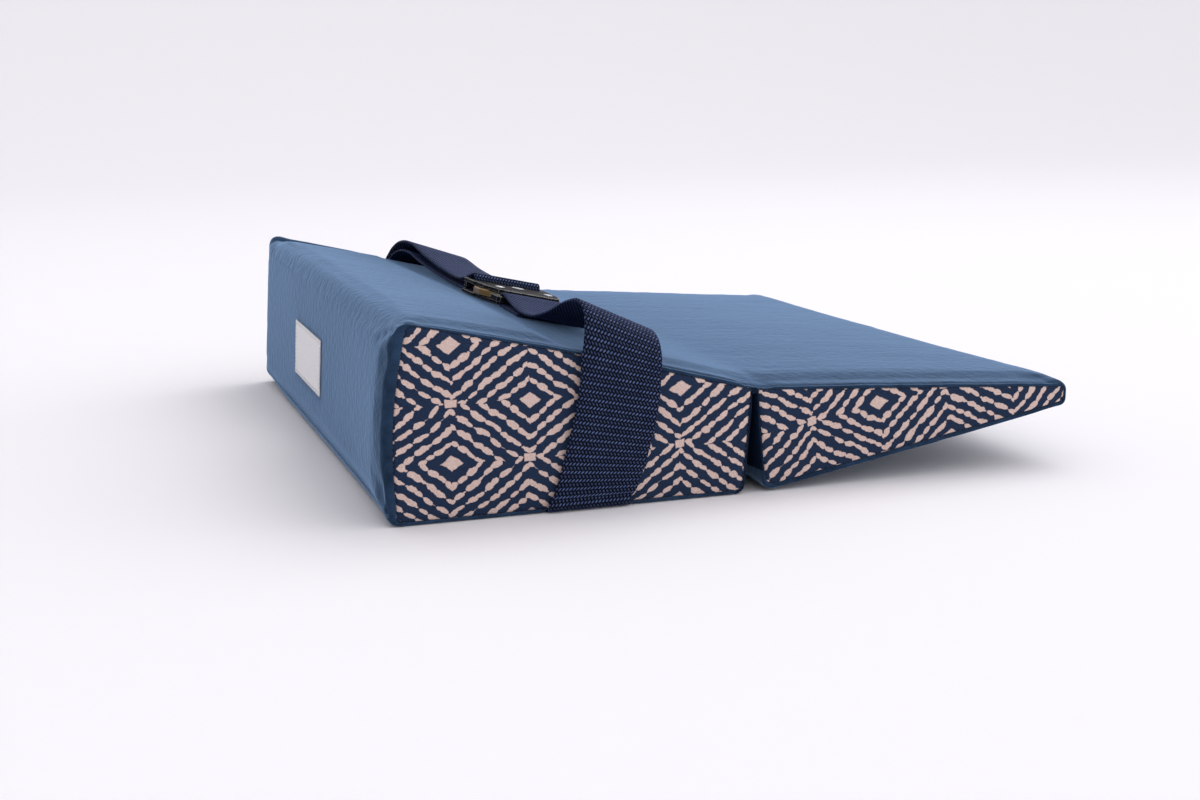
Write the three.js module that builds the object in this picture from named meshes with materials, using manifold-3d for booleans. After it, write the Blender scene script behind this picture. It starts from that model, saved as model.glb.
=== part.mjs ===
// A folding wedge travel pillow: a thick and a thin foam-filled cloth wedge that share the cloth of their
// top, printed panels sewn into the sides, a sewn label, and a webbing strap with a metal release buckle.
// Millimetres and degrees. X runs from the thick end to the tip, Y across the pillow, Z up.
import * as THREE from "three";
import { mergeVertices } from "three/addons/utils/BufferGeometryUtils.js";
import Module from "manifold-3d";

const wasm = await Module();
wasm.setup();

// Driving dimensions
const WIDTH = 474;
const GAP = 0.3;
const PANEL_THICKNESS = 1.5;
const PANEL_CROWN = 1.2;
const ROLL_DEPTH = 6;
const FOLD_LAP = 14;
const FOLD_CLOTH = 1.5;
const FOLD_END = 9;
const LABEL = { width: 102, height: 38, thickness: 1, centreY: 28, centreZ: 51 };
const WEBBING = { width: 50, thickness: 1.8, grooveDepth: 2.6, grooveGap: 1 };
const BUCKLE = { x: 142, y: 0, yaw: 2, lift: 0.4 };
const SOCKET = { half: 30, nearHalf: 22.5, rail: 4.6, near: -28, body: 19, far: 34, notch: 2, corner: 2 };
const LAYER = { base: 0, basePlate: 2.4, topPlateUnder: 7.8, topPlate: 10.6 };
const CLIP = { pivotU: 18, pivotV: -14, hole: 2.3, under: 2.8, over: 7.4, pad: { near: -11, far: 8 } };
const RIVET = { shank: 2, pivotHead: 3.4, centreHead: 4.6, headHeight: 0.9, recess: 0.2 };
const TONGUE = { under: 3, over: 7.2, half: 29, slotHalf: 25.5, shoulder: -34, slot: -39.5, end: -45.5 };
const BAR = { radius: 2.3, half: 29.4, v: 28, n: 5.2 };
const NEAR_LOOP = { v: -41.2, radius: 3.9 };
const WEB_CLEARANCE = 0.4;

// The wedges seen from the near side, anticlockwise. Each row is a corner and the edge that leaves it:
// where the straight edges would meet, the corner's radius, how far the edge's cloth crowns,
// and how much of that cloth rolls round on to the sides before the seam of the printed panel.
const THICK = [
  { edge: "bottom", x: 0, z: 0, radius: 8, crown: 0, roll: 2.5 },
  { edge: "inner", x: 214.5, z: 0, radius: 7, crown: 0.8, roll: 1.2 },
  { edge: "top", x: 220, z: 67, radius: 2.5, crown: 2.5, roll: 4 },
  { edge: "front", x: 7.4, z: 115, radius: 10, crown: 2.5, roll: 5.5 },
];
const THIN = [
  { edge: "bottom", x: 227, z: 0, radius: 9, crown: 1, roll: 3.2 },
  { edge: "tip", x: 438, z: 38, radius: 5, crown: 0.3, roll: 2 },
  { edge: "top", x: 438, z: 54, radius: 6, crown: 2, roll: 3.5 },
  { edge: "inner", x: 221.6, z: 67, radius: 2.5, crown: 0.8, roll: 1.2 },
];

// The strap over the top: y is measured from the near side, x is the middle of the webbing, lift its height
// above the straight top face, lean how much further than that face it tips to the tip, and turn its yaw.
const FAR_TAIL = [
  { y: 476.8, x: 127.5, lift: -12, lean: 0, turn: 0 },
  { y: 476.4, x: 127.8, lift: -4, lean: 1, turn: 1 },
  { y: 472, x: 128.3, lift: 3.2, lean: 3, turn: 4 },
  { y: 460, x: 129.2, lift: 8.6, lean: 5, turn: 7 },
  { y: 438, x: 130.8, lift: 11.2, lean: 6, turn: 9 },
  { y: 395, x: 133.5, lift: 7.6, lean: 5, turn: 6 },
  { y: 340, x: 136.8, lift: 5.2, lean: 2, turn: 4 },
  { y: 296, x: 139.4, lift: 4.4, lean: 0, turn: 3 },
];
const FAR_ARCH = [
  { y: 294, x: 139.4, lift: 10, lean: 0, turn: 3 },
  { y: 338, x: 136.8, lift: 10.4, lean: 2, turn: 4 },
  { y: 390, x: 133.7, lift: 14, lean: 5, turn: 6 },
  { y: 434, x: 131, lift: 18.6, lean: 6, turn: 9 },
  { y: 462, x: 129, lift: 15.4, lean: 5, turn: 7 },
  { y: 477, x: 128, lift: 7.4, lean: 2, turn: 3 },
  { y: 480.7, x: 127, lift: -4, lean: 0, turn: 0 },
];
const NEAR_ARCH = [
  { y: -5.4, x: 135.5, lift: -4, lean: 2, turn: 0 },
  { y: -4, x: 134.5, lift: 8.5, lean: 7, turn: 0 },
  { y: 2, x: 133.5, lift: 19, lean: 11, turn: 0 },
  { y: 14, x: 133, lift: 24, lean: 12, turn: 0 },
  { y: 36, x: 133.5, lift: 21.4, lean: 10, turn: -2 },
  { y: 70, x: 135, lift: 12.4, lean: 6, turn: -3 },
  { y: 104, x: 137, lift: 7.2, lean: 2, turn: -3 },
  { y: 140, x: 139.5, lift: 6.7, lean: 0, turn: -1 },
  { y: 172, x: 141.8, lift: 8.9, lean: 0, turn: 3 },
];
const NEAR_TAIL = [
  { y: 176, x: 142, lift: 3.9, lean: 0, turn: 3 },
  { y: 140, x: 139.5, lift: 3.7, lean: 0, turn: -1 },
];
// The strap down a side: how far it stands off the side, the middle of the webbing, and its lean from level.
const SIDE = [
  { off: 5.6, x: 133.5, z: 68, lean: 12.4 },
  { off: 4.6, x: 129.5, z: 47, lean: 11 },
  { off: 3.6, x: 123.5, z: 24, lean: 6 },
  { off: 3.6, x: 118.5, z: 10, lean: 1 },
];
const UNDERSIDE = { x: 116, z: 1.15, bend: 5.5, off: 3.6 };

const NEAR_Y = -WIDTH / 2;
const TOP_EDGE = THICK.findIndex((row) => row.edge === "top");
const FRONT_EDGE = THICK.findIndex((row) => row.edge === "front");
const [HINGE, SHOULDER] = [THICK[TOP_EDGE], THICK[FRONT_EDGE]];
const SLOPE = Math.atan2(SHOULDER.z - HINGE.z, HINGE.x - SHOULDER.x);

const cloth = (color) => new THREE.MeshStandardMaterial({ color, roughness: 0.95, metalness: 0 });
const metal = (color, roughness) => new THREE.MeshStandardMaterial({ color, roughness, metalness: 1 });
const BLUE_CLOTH = cloth("#365b86");
const PRINTED_CLOTH = cloth("#2b3a5c");
const LABEL_CLOTH = cloth("#e9e8ea");
const NAVY_WEBBING = cloth("#1c2440");
const GUNMETAL = metal("#55565a", 0.4);
const BRASS = metal("#c9a063", 0.35);
const STEEL = metal("#c8c9cc", 0.3);

// A closed geometry from points and triangles.
function closed(points, faces) {
  const geometry = new THREE.BufferGeometry().setFromPoints(points);
  geometry.setIndex(faces);
  geometry.computeVertexNormals();
  return geometry;
}

// The edges of a side view, each moved in by its share of the roll and by inset.
function edgeLines(rows, tuck, inset) {
  return rows.map((row, i) => {
    const next = rows[(i + 1) % rows.length];
    const along = new THREE.Vector2(next.x - row.x, next.z - row.z).normalize();
    const inward = new THREE.Vector2(-along.y, along.x);
    const start = new THREE.Vector2(row.x, row.z).addScaledVector(inward, row.roll * tuck + inset);
    return { along, inward, start };
  });
}

// Where each edge starts and ends between the rounds of its corners, with those rounds' centres.
// A corner is sharper at the panel's seam than at the outside of the rolled edge.
const ROLL_ROUNDING = 0.6;
const SEAM_RADIUS = 1.5;
function roundedEdges(rows, tuck, inset) {
  const lines = edgeLines(rows, tuck, inset);
  const corners = lines.map((line, i) => {
    const before = lines[(i + lines.length - 1) % lines.length];
    const turn = before.along.cross(line.along);
    const reach = line.start.clone().sub(before.start).cross(line.along) / turn;
    const point = before.start.clone().addScaledVector(before.along, reach);
    const radius = Math.max(rows[i].radius - tuck * rows[i].roll * ROLL_ROUNDING, SEAM_RADIUS);
    const tangent = radius * Math.tan(Math.asin(Math.min(turn, 1)) / 2);
    return { point, radius, tangent };
  });
  return lines.map((line, i) => {
    const next = corners[(i + 1) % corners.length];
    const start = corners[i].point.clone().addScaledVector(line.along, corners[i].tangent);
    const end = next.point.clone().addScaledVector(line.along, -next.tangent);
    const centre = start.clone().addScaledVector(line.inward, corners[i].radius);
    return { ...line, start, end, centre, radius: corners[i].radius };
  });
}

// A point of an edge, t from its start to its end, crowned outwards.
function edgePoint(edge, crown, t) {
  const point = edge.start.clone().lerp(edge.end, t);
  return point.addScaledVector(edge.inward, -crown * Math.sin(Math.PI * t));
}

const EDGE_STEPS = 8;
const CORNER_STEPS = 4;

// One closed outline of a side view: a round at each corner, then its edge.
function outline(rows, { tuck = 0, puff = 0, inset = 0 }) {
  const edges = roundedEdges(rows, tuck, inset);
  return edges.flatMap((edge, i) => {
    const before = edges[(i + edges.length - 1) % edges.length];
    const from = before.inward.angle() + Math.PI;
    const turn = Math.asin(Math.min(before.along.cross(edge.along), 1));
    const round = Array.from({ length: CORNER_STEPS }, (_, k) => {
      const angle = from + (turn * k) / CORNER_STEPS;
      const outward = new THREE.Vector2(Math.cos(angle), Math.sin(angle));
      return edge.centre.clone().addScaledVector(outward, edge.radius);
    });
    const straight = Array.from({ length: EDGE_STEPS }, (_, k) =>
      edgePoint(edge, rows[i].crown * puff, k / EDGE_STEPS),
    );
    return [...round, ...straight];
  });
}

const at = (y) => (point) => new THREE.Vector3(point.x, y, point.y);

// A solid through like outlines that follow one another from the near end to the far end.
function loft(rings) {
  const count = rings[0].length;
  const faces = [];
  for (let k = 0; k + 1 < rings.length; k++) {
    for (let i = 0; i < count; i++) {
      const [a, b] = [k * count + i, k * count + ((i + 1) % count)];
      const [c, d] = [a + count, b + count];
      faces.push(a, c, d, a, d, b);
    }
  }
  const points = rings.flat();
  const middle = (ring) => ring.reduce((sum, p) => sum.add(p), new THREE.Vector3()).divideScalar(count);
  const last = (rings.length - 1) * count;
  points.push(middle(rings[0]), middle(rings.at(-1)));
  for (let i = 0; i < count; i++) {
    const j = (i + 1) % count;
    faces.push(points.length - 2, i, j, points.length - 1, last + j, last + i);
  }
  return closed(points, faces);
}

const ROLL_STEPS = 4;
const BODY_STEPS = 6;
const CROWN_FULLNESS = 0.7;
const crownAcross = (y) => Math.sin((Math.PI * (y - NEAR_Y)) / WIDTH) ** CROWN_FULLNESS;

// A filled wedge: a shallow pocket for each side panel, the rolled edge round it, and the crowned body.
function wedge(rows) {
  const half = [{ depth: PANEL_THICKNESS + GAP, tuck: 1 }];
  for (let k = 0; k <= ROLL_STEPS; k++) {
    const angle = (Math.PI / 2) * (k / ROLL_STEPS);
    half.push({ depth: ROLL_DEPTH * (1 - Math.cos(angle)), tuck: 1 - Math.sin(angle) });
  }
  for (let k = 1; k <= BODY_STEPS; k++) {
    half.push({ depth: ROLL_DEPTH + (WIDTH / 2 - ROLL_DEPTH) * (k / BODY_STEPS) ** 1.5, tuck: 0 });
  }
  const stations = half.map(({ depth, tuck }) => ({ y: NEAR_Y + depth, tuck }));
  const mirrored = stations.slice(0, -1).reverse().map(({ y, tuck }) => ({ y: -y, tuck }));
  const rings = [...stations, ...mirrored].map(({ y, tuck }) => {
    const puff = tuck > 0 ? 0 : crownAcross(y) - crownAcross(NEAR_Y + ROLL_DEPTH);
    return outline(rows, { tuck, puff }).map(at(y));
  });
  return loft(rings);
}

// A printed panel in its pocket, a little fuller in the middle. It is made for the near side.
function sidePanel(rows) {
  const rim = outline(rows, { tuck: 1, inset: GAP });
  const middle = rim.reduce((sum, p) => sum.add(p), new THREE.Vector2()).divideScalar(rim.length);
  const towards = (share) => rim.map((p) => p.clone().lerp(middle, share));
  return loft([
    towards(0.6).map(at(NEAR_Y - PANEL_CROWN)),
    towards(0.25).map(at(NEAR_Y - PANEL_CROWN * 0.6)),
    rim.map(at(NEAR_Y)),
    rim.map(at(NEAR_Y + PANEL_THICKNESS)),
  ]);
}

// The same piece on the far side of the pillow.
function mirroredAcross(geometry) {
  const far = geometry.clone().scale(1, -1, 1);
  const index = far.index.array;
  for (let i = 0; i < index.length; i += 3) {
    [index[i + 1], index[i + 2]] = [index[i + 2], index[i + 1]];
  }
  far.computeVertexNormals();
  return far;
}

// A solid for cutting and joining, and the geometry it gives back.
function solidOf(geometry) {
  const bare = geometry.clone();
  bare.deleteAttribute("normal");
  bare.deleteAttribute("uv");
  const merged = mergeVertices(bare, 1e-4);
  return new wasm.Manifold(
    new wasm.Mesh({
      numProp: 3,
      vertProperties: new Float32Array(merged.attributes.position.array),
      triVerts: new Uint32Array(merged.index.array),
    }),
  );
}

function geometryOf(solid) {
  const { vertProperties, triVerts } = solid.getMesh();
  const geometry = new THREE.BufferGeometry();
  geometry.setAttribute("position", new THREE.BufferAttribute(vertProperties, 3));
  geometry.setIndex(new THREE.BufferAttribute(triVerts, 1));
  geometry.computeVertexNormals();
  return geometry;
}

const cut = (geometry, ...tools) =>
  geometryOf(tools.reduce((solid, tool) => solid.subtract(solidOf(tool)), solidOf(geometry)));

// A side-view polygon drawn from one y to another.
function prism(points, fromY, toY) {
  const shape = new THREE.Shape(points.map(([x, z]) => new THREE.Vector2(x, z)));
  const geometry = new THREE.ExtrudeGeometry(shape, { depth: toY - fromY, bevelEnabled: false });
  return geometry.rotateX(Math.PI / 2).translate(0, toY, 0);
}

// The cloth of the top where it crosses the fold, as a bent strip whose upper face is flush with both
// wedges, and the shallow bed that it lies in. The strip runs a lap on to each wedge.
function foldStrip(lap, above, below, endInset) {
  const thinTop = THIN.find((row) => row.edge === "top");
  const thinHinge = THIN.find((row) => row.edge === "inner");
  const thickAlong = new THREE.Vector2(SHOULDER.x - HINGE.x, SHOULDER.z - HINGE.z).normalize();
  const thinAlong = new THREE.Vector2(thinTop.x - thinHinge.x, thinTop.z - thinHinge.z).normalize();
  const middle = [(HINGE.x + thinHinge.x) / 2, (HINGE.z + thinHinge.z) / 2];
  const from = [HINGE.x + thickAlong.x * lap, HINGE.z + thickAlong.y * lap];
  const to = [thinHinge.x + thinAlong.x * lap, thinHinge.z + thinAlong.y * lap];
  const upper = [from, middle, to].map(([x, z]) => [x, z + above]);
  const lower = [to, middle, from].map(([x, z]) => [x, z - below]);
  return prism([...upper, ...lower].reverse(), NEAR_Y + endInset, -NEAR_Y - endInset);
}

const foldCloth = foldStrip(FOLD_LAP, 0, FOLD_CLOTH, FOLD_END);
const foldBed = foldStrip(FOLD_LAP + GAP, 4, FOLD_CLOTH + GAP, FOLD_END - GAP);

const grooveHalf = WEBBING.width / 2 + WEBBING.grooveGap;
const strapGroove = prism(
  [
    [UNDERSIDE.x - grooveHalf, -1],
    [UNDERSIDE.x + grooveHalf, -1],
    [UNDERSIDE.x + grooveHalf, WEBBING.grooveDepth],
    [UNDERSIDE.x - grooveHalf, WEBBING.grooveDepth],
  ],
  NEAR_Y - 1,
  -NEAR_Y + 1,
);

// A point at lift above the straight top face of the thick wedge, and the top's crown at that place.
const topEdge = roundedEdges(THICK, 0, 0)[TOP_EDGE];
const topNormal = new THREE.Vector3(-topEdge.inward.x, 0, -topEdge.inward.y);
function overTop(x, y, lift) {
  const z = HINGE.z + (HINGE.x - x) * Math.tan(SLOPE);
  return new THREE.Vector3(x, y, z).addScaledVector(topNormal, lift);
}
function topCrown(x, y) {
  const t = (topEdge.start.x - x) / (topEdge.start.x - topEdge.end.x);
  return HINGE.crown * crownAcross(y) * Math.sin(Math.PI * t);
}

// The label follows the crown of the front face and stands a gap off it.
function label() {
  const edge = roundedEdges(THICK, 0, 0)[FRONT_EDGE];
  const length = edge.start.distanceTo(edge.end);
  const middle = (edge.start.y - LABEL.centreZ) / (edge.start.y - edge.end.y);
  const [columns, rows] = [12, 6];
  const layer = (stand) => (column, row) => {
    const y = LABEL.centreY + LABEL.width * (column / columns - 0.5);
    const t = middle + (LABEL.height / length) * (row / rows - 0.5);
    const puff = crownAcross(y) - crownAcross(NEAR_Y + ROLL_DEPTH);
    return at(y)(edgePoint(edge, SHOULDER.crown * puff, t).addScaledVector(edge.inward, -stand));
  };
  const rings = Array.from({ length: columns + 1 }, (_, column) => {
    const [under, over] = [layer(GAP), layer(GAP + LABEL.thickness)];
    const upward = Array.from({ length: rows + 1 }, (_, row) => under(column, rows - row));
    const downward = Array.from({ length: rows + 1 }, (_, row) => over(column, row));
    return [...upward, ...downward];
  });
  return loft(rings);
}

// The buckle lies on the top in its own frame: u across the webbing towards the tip, v away, n up.
const buckleGroup = new THREE.Group();
const buckleSeat = overTop(BUCKLE.x, BUCKLE.y, topCrown(BUCKLE.x, BUCKLE.y) + BUCKLE.lift);
buckleGroup.position.copy(buckleSeat);
buckleGroup.rotation.set(0, SLOPE, THREE.MathUtils.degToRad(BUCKLE.yaw), "YZX");
buckleGroup.updateMatrixWorld(true);

// A strap station is the middle of the webbing there and the direction across it.
const leaning = (lean, turn = 0) => {
  const [leanAngle, turnAngle] = [lean, turn].map(THREE.MathUtils.degToRad);
  return new THREE.Vector3(1, 0, 0).applyEuler(new THREE.Euler(0, leanAngle, turnAngle, "ZYX"));
};
const buckleStation = (v, n) => ({
  point: new THREE.Vector3(0, v, n).applyMatrix4(buckleGroup.matrixWorld),
  across: new THREE.Vector3(1, 0, 0).applyQuaternion(buckleGroup.quaternion),
});

// The webbing turns round a bar from one layer to the other, passing the side that faces the buckle.
function barLoop(v, n, radius, { facing, from, to, steps }) {
  return Array.from({ length: steps + 1 }, (_, k) => {
    const angle = THREE.MathUtils.degToRad(from + ((to - from) * k) / steps);
    return buckleStation(v + facing * radius * Math.cos(angle), n + radius * Math.sin(angle));
  });
}

// The strap as one length of webbing: the far tail up to the buckle, round the far bar, back over the far
// arch, down the far side, under the pillow, up the near side, over the near arch, round the near bar, and
// the near tail.
function strapStations() {
  const overRow = ({ y, x, lift, lean, turn }) => ({
    point: overTop(x, NEAR_Y + y, lift),
    across: leaning(THREE.MathUtils.radToDeg(SLOPE) + lean, turn),
  });
  const sideRow = (side) => ({ off, x, z, lean }) => ({
    point: new THREE.Vector3(x, side * (WIDTH / 2 + off), z),
    across: leaning(lean),
  });
  const bendY = WIDTH / 2 + UNDERSIDE.off - UNDERSIDE.bend;
  const under = (y, rise) => ({
    point: new THREE.Vector3(UNDERSIDE.x, y, UNDERSIDE.z + rise),
    across: leaning(0),
  });
  const bend = (side) => [0, 30, 60, 90].map((degrees) => {
    const angle = THREE.MathUtils.degToRad(degrees);
    const y = bendY + UNDERSIDE.bend * Math.cos(angle);
    return under(side * y, UNDERSIDE.bend * (1 - Math.sin(angle)));
  });
  const reach = WEB_CLEARANCE + WEBBING.thickness / 2;
  const farLoop = barLoop(BAR.v, BAR.n, BAR.radius + reach, { facing: -1, from: -90, to: 90, steps: 8 });
  const nearN = (TONGUE.over + TONGUE.under) / 2;
  const nearLoop = barLoop(NEAR_LOOP.v, nearN, NEAR_LOOP.radius, { facing: 1, from: 90, to: -90, steps: 8 });
  return [
    ...FAR_TAIL.map(overRow),
    ...farLoop,
    ...FAR_ARCH.map(overRow),
    ...SIDE.map(sideRow(1)),
    ...bend(1),
    ...[0.95, 0.5, 0, -0.5, -0.95].map((share) => under(share * bendY, 0)),
    ...bend(-1).toReversed(),
    ...SIDE.toReversed().map(sideRow(-1)),
    ...NEAR_ARCH.map(overRow),
    ...nearLoop,
    ...NEAR_TAIL.map(overRow),
  ];
}

const STRAP_STEPS = 3;

// A ribbon of rectangular section through the stations.
function strap() {
  const stations = strapStations();
  const path = new THREE.CatmullRomCurve3(stations.map(({ point }) => point), false, "centripetal");
  const directions = new THREE.CatmullRomCurve3(stations.map(({ across }) => across), false, "catmullrom");
  const count = (stations.length - 1) * STRAP_STEPS;
  const sections = Array.from({ length: count + 1 }, (_, i) => {
    const centre = path.getPoint(i / count);
    const along = path.getTangent(i / count);
    const across = directions.getPoint(i / count).normalize();
    const up = across.clone().cross(along).normalize();
    const side = across.multiplyScalar(WEBBING.width / 2);
    const face = up.multiplyScalar(WEBBING.thickness / 2);
    const corner = (u, n) => centre.clone().addScaledVector(side, u).addScaledVector(face, n);
    return [corner(-1, -1), corner(1, -1), corner(1, 1), corner(-1, 1)];
  });
  return loft(sections);
}

// Buckle pieces are drawn in u and v and thickened from one level to another.
function plate(points, holes, under, over, bevel = 0.3) {
  const shape = new THREE.Shape(points.map(([u, v]) => new THREE.Vector2(u, v)));
  shape.holes.push(...holes);
  const edge = { bevelThickness: bevel, bevelSize: bevel, bevelOffset: -bevel, bevelSegments: 1 };
  const depth = over - under - 2 * bevel;
  const geometry = new THREE.ExtrudeGeometry(shape, { ...edge, depth, curveSegments: 10 });
  return geometry.translate(0, 0, under + bevel);
}

const roundHole = (u, v, radius) => new THREE.Path().absarc(u, v, radius, 0, 2 * Math.PI, true);

// The outline of both socket plates: a body that narrows to the near end, notched where the clips' pads
// stand out, and two rails that carry the far bar.
function forkOutline() {
  const { half, nearHalf, rail, near, body, far, notch, corner } = SOCKET;
  const pad = CLIP.pad;
  const right = [
    [nearHalf - 2 * corner, near],
    [nearHalf, near + corner],
    [half - 2 * notch, pad.near - corner],
    [half - notch, pad.near + corner],
    [half - notch, pad.far - corner],
    [half, pad.far + corner],
    [half, far - corner],
    [half - corner, far],
    [half - rail, far],
    [half - rail, body],
  ];
  const left = right.toReversed().map(([u, v]) => [-u, v]);
  return [...right, ...left];
}

const pivotHoles = () => [1, -1].map((side) => roundHole(side * CLIP.pivotU, CLIP.pivotV, CLIP.hole));
const centreHole = () => roundHole(0, 0, CLIP.hole);

// A release clip on the +u side, as points [u, v]: the hook behind the tongue's head, the lever round its
// pivot, and the pad that is pressed.
const CLIP_OUTLINE = [
  [12.6, -24.6],
  [16, -26],
  [21, -24],
  [24.5, -15],
  [28, -11],
  [30.4, -8],
  [30.4, 5],
  [28, 8],
  [24.6, 8],
  [22.6, -6],
  [17, -8.6],
  [13.4, -12],
  [13, -17],
  [12.2, -19.6],
  [9.6, -19.6],
  [9.6, -22],
];
function clip(side) {
  const points = CLIP_OUTLINE.map(([u, v]) => [side * u, v]);
  const hole = roundHole(side * CLIP.pivotU, CLIP.pivotV, CLIP.hole);
  return plate(side > 0 ? points : points.reverse(), [hole], CLIP.under, CLIP.over, 0.4);
}

// The tongue, as points [u, v] of its +u half: an arrow head that the hooks catch, a neck, the shoulders,
// and the bar of the near webbing.
const TONGUE_HALF = [
  [5, -9],
  [8, -11.5],
  [11, -18],
  [11, -18.8],
  [8.6, -18.8],
  [8.6, SOCKET.near - 0.5],
  [TONGUE.half - 2, SOCKET.near - 0.5],
  [TONGUE.half, SOCKET.near - 2.5],
  [TONGUE.half, TONGUE.end + 2],
  [TONGUE.half - 2, TONGUE.end],
];
function tongue() {
  const left = TONGUE_HALF.map(([u, v]) => [-u, v]);
  const slot = new THREE.Path();
  slot.moveTo(-TONGUE.slotHalf, TONGUE.slot);
  slot.lineTo(-TONGUE.slotHalf, TONGUE.shoulder);
  slot.lineTo(TONGUE.slotHalf, TONGUE.shoulder);
  slot.lineTo(TONGUE.slotHalf, TONGUE.slot);
  slot.closePath();
  return plate([...left, ...TONGUE_HALF.toReversed()], [slot], TONGUE.under, TONGUE.over, 0.4);
}

// A rivet with a shank from the base plate's underside through the top plate, and a low head on each.
function rivet(u, v, headRadius, headHeight) {
  const top = LAYER.topPlate + GAP;
  const bottom = LAYER.base + RIVET.recess;
  const profile = [
    [0, bottom],
    [RIVET.shank, bottom],
    [RIVET.shank, top],
    [headRadius, top],
    [headRadius, top + headHeight * 0.4],
    [headRadius * 0.75, top + headHeight * 0.85],
    [0, top + headHeight],
  ];
  const geometry = new THREE.LatheGeometry(profile.map(([r, n]) => new THREE.Vector2(r, n)), 20);
  return geometry.rotateX(Math.PI / 2).translate(u, v, 0);
}

function farBar() {
  const bar = new THREE.CylinderGeometry(BAR.radius, BAR.radius, 2 * BAR.half, 14);
  return bar.rotateZ(Math.PI / 2).translate(0, BAR.v, BAR.n);
}

const pillow = new THREE.Group();
function add(group, name, geometry, material) {
  const mesh = new THREE.Mesh(geometry, material);
  mesh.name = name;
  group.add(mesh);
}

add(pillow, "thick_wedge", cut(wedge(THICK), foldBed, strapGroove), BLUE_CLOTH);
add(pillow, "thin_wedge", cut(wedge(THIN), foldBed), BLUE_CLOTH);
add(pillow, "fold_cloth", foldCloth, BLUE_CLOTH);
for (const [name, rows] of [["thick", THICK], ["thin", THIN]]) {
  const panel = sidePanel(rows);
  add(pillow, `${name}_side_near`, panel, PRINTED_CLOTH);
  add(pillow, `${name}_side_far`, mirroredAcross(panel), PRINTED_CLOTH);
}
add(pillow, "label", label(), LABEL_CLOTH);
add(pillow, "strap", strap(), NAVY_WEBBING);

const socketHoles = () => [...pivotHoles(), centreHole()];
const socketPlate = (under, over) => plate(forkOutline(), socketHoles(), under, over);
add(buckleGroup, "buckle_base_plate", socketPlate(LAYER.base, LAYER.basePlate), GUNMETAL);
add(buckleGroup, "buckle_top_plate", socketPlate(LAYER.topPlateUnder, LAYER.topPlate), GUNMETAL);
add(buckleGroup, "buckle_far_bar", farBar(), GUNMETAL);
add(buckleGroup, "buckle_tongue", tongue(), GUNMETAL);
for (const [name, side] of [["left", -1], ["right", 1]]) {
  add(buckleGroup, `buckle_clip_${name}`, clip(side), BRASS);
  const pivot = rivet(side * CLIP.pivotU, CLIP.pivotV, RIVET.pivotHead, RIVET.headHeight);
  add(buckleGroup, `buckle_rivet_${name}`, pivot, STEEL);
}
add(buckleGroup, "buckle_rivet_centre", rivet(0, 0, RIVET.centreHead, RIVET.headHeight), STEEL);
pillow.add(buckleGroup);

// The origin is on the surface below, under the middle of the pillow.
const extent = new THREE.Box3().setFromObject(pillow);
const centre = extent.getCenter(new THREE.Vector3());
pillow.position.set(-centre.x, -centre.y, -extent.min.z);

export default pillow;
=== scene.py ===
"""Looks for a folding wedge travel pillow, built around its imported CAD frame.

Tables are in millimetres and degrees, in the part's own axes: X from the thick end to the tip, Y across
the pillow from its middle, Z up. Meshes are made in metres in the row frame.
"""

import math

import bpy
import numpy as np
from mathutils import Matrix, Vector
from mathutils.bvhtree import BVHTree


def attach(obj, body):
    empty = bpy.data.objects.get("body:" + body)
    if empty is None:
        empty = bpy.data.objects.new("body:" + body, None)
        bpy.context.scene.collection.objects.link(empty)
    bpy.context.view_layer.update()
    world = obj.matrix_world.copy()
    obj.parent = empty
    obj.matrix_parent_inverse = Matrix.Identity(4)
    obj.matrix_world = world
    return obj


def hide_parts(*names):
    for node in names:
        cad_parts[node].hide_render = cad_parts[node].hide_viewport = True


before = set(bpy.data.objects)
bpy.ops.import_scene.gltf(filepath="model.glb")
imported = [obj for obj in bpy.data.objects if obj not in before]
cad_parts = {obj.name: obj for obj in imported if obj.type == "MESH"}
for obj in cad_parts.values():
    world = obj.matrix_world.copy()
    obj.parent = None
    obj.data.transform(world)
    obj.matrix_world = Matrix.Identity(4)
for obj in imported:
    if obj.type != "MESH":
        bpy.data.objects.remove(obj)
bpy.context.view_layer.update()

MM = 0.001
# Where the part's own zero lies in the row frame.
PART_ZERO = np.array((-218.732, -0.611, 0.0))
WIDTH = 474.0
NEAR_Y = -WIDTH / 2
# The straight top of the thick wedge falls from its front edge to the fold, x and z of each.
FRONT_EDGE, FOLD = (7.4, 115.0), (220.0, 67.0)
SLOPE = math.atan2(FRONT_EDGE[1] - FOLD[1], FOLD[0] - FRONT_EDGE[0])
TIP_X = 438.0
# The far end has settled: its front corner stands a little higher than the near one, its tip hangs lower,
# and its front bottom corner has rounded off.
SETTLED = {"front": 3.4, "tip": -5.4, "whole_above": 60.0, "corner": 5.0, "corner_reach": (26.0, 40.0, 34.0)}


def table(names, *rows):
    """Rows of values as dictionaries by column name."""
    return [dict(zip(names.split(), row)) for row in rows]


def columns(rows, *names):
    """One array for each named column of a table."""
    return [np.array([row[name] for row in rows]) for name in names]


def bell(distance):
    """1 at no distance, falling away smoothly over about one unit."""
    return np.exp(-(distance**2))


def eased(share):
    """A share from 0 to 1, with a slow start and end."""
    return share * share * (3 - 2 * share)


def run_along(line):
    """The length along a line to each of its points."""
    return np.concatenate([[0], np.cumsum(np.linalg.norm(np.diff(line, axis=0), axis=1))])


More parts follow.
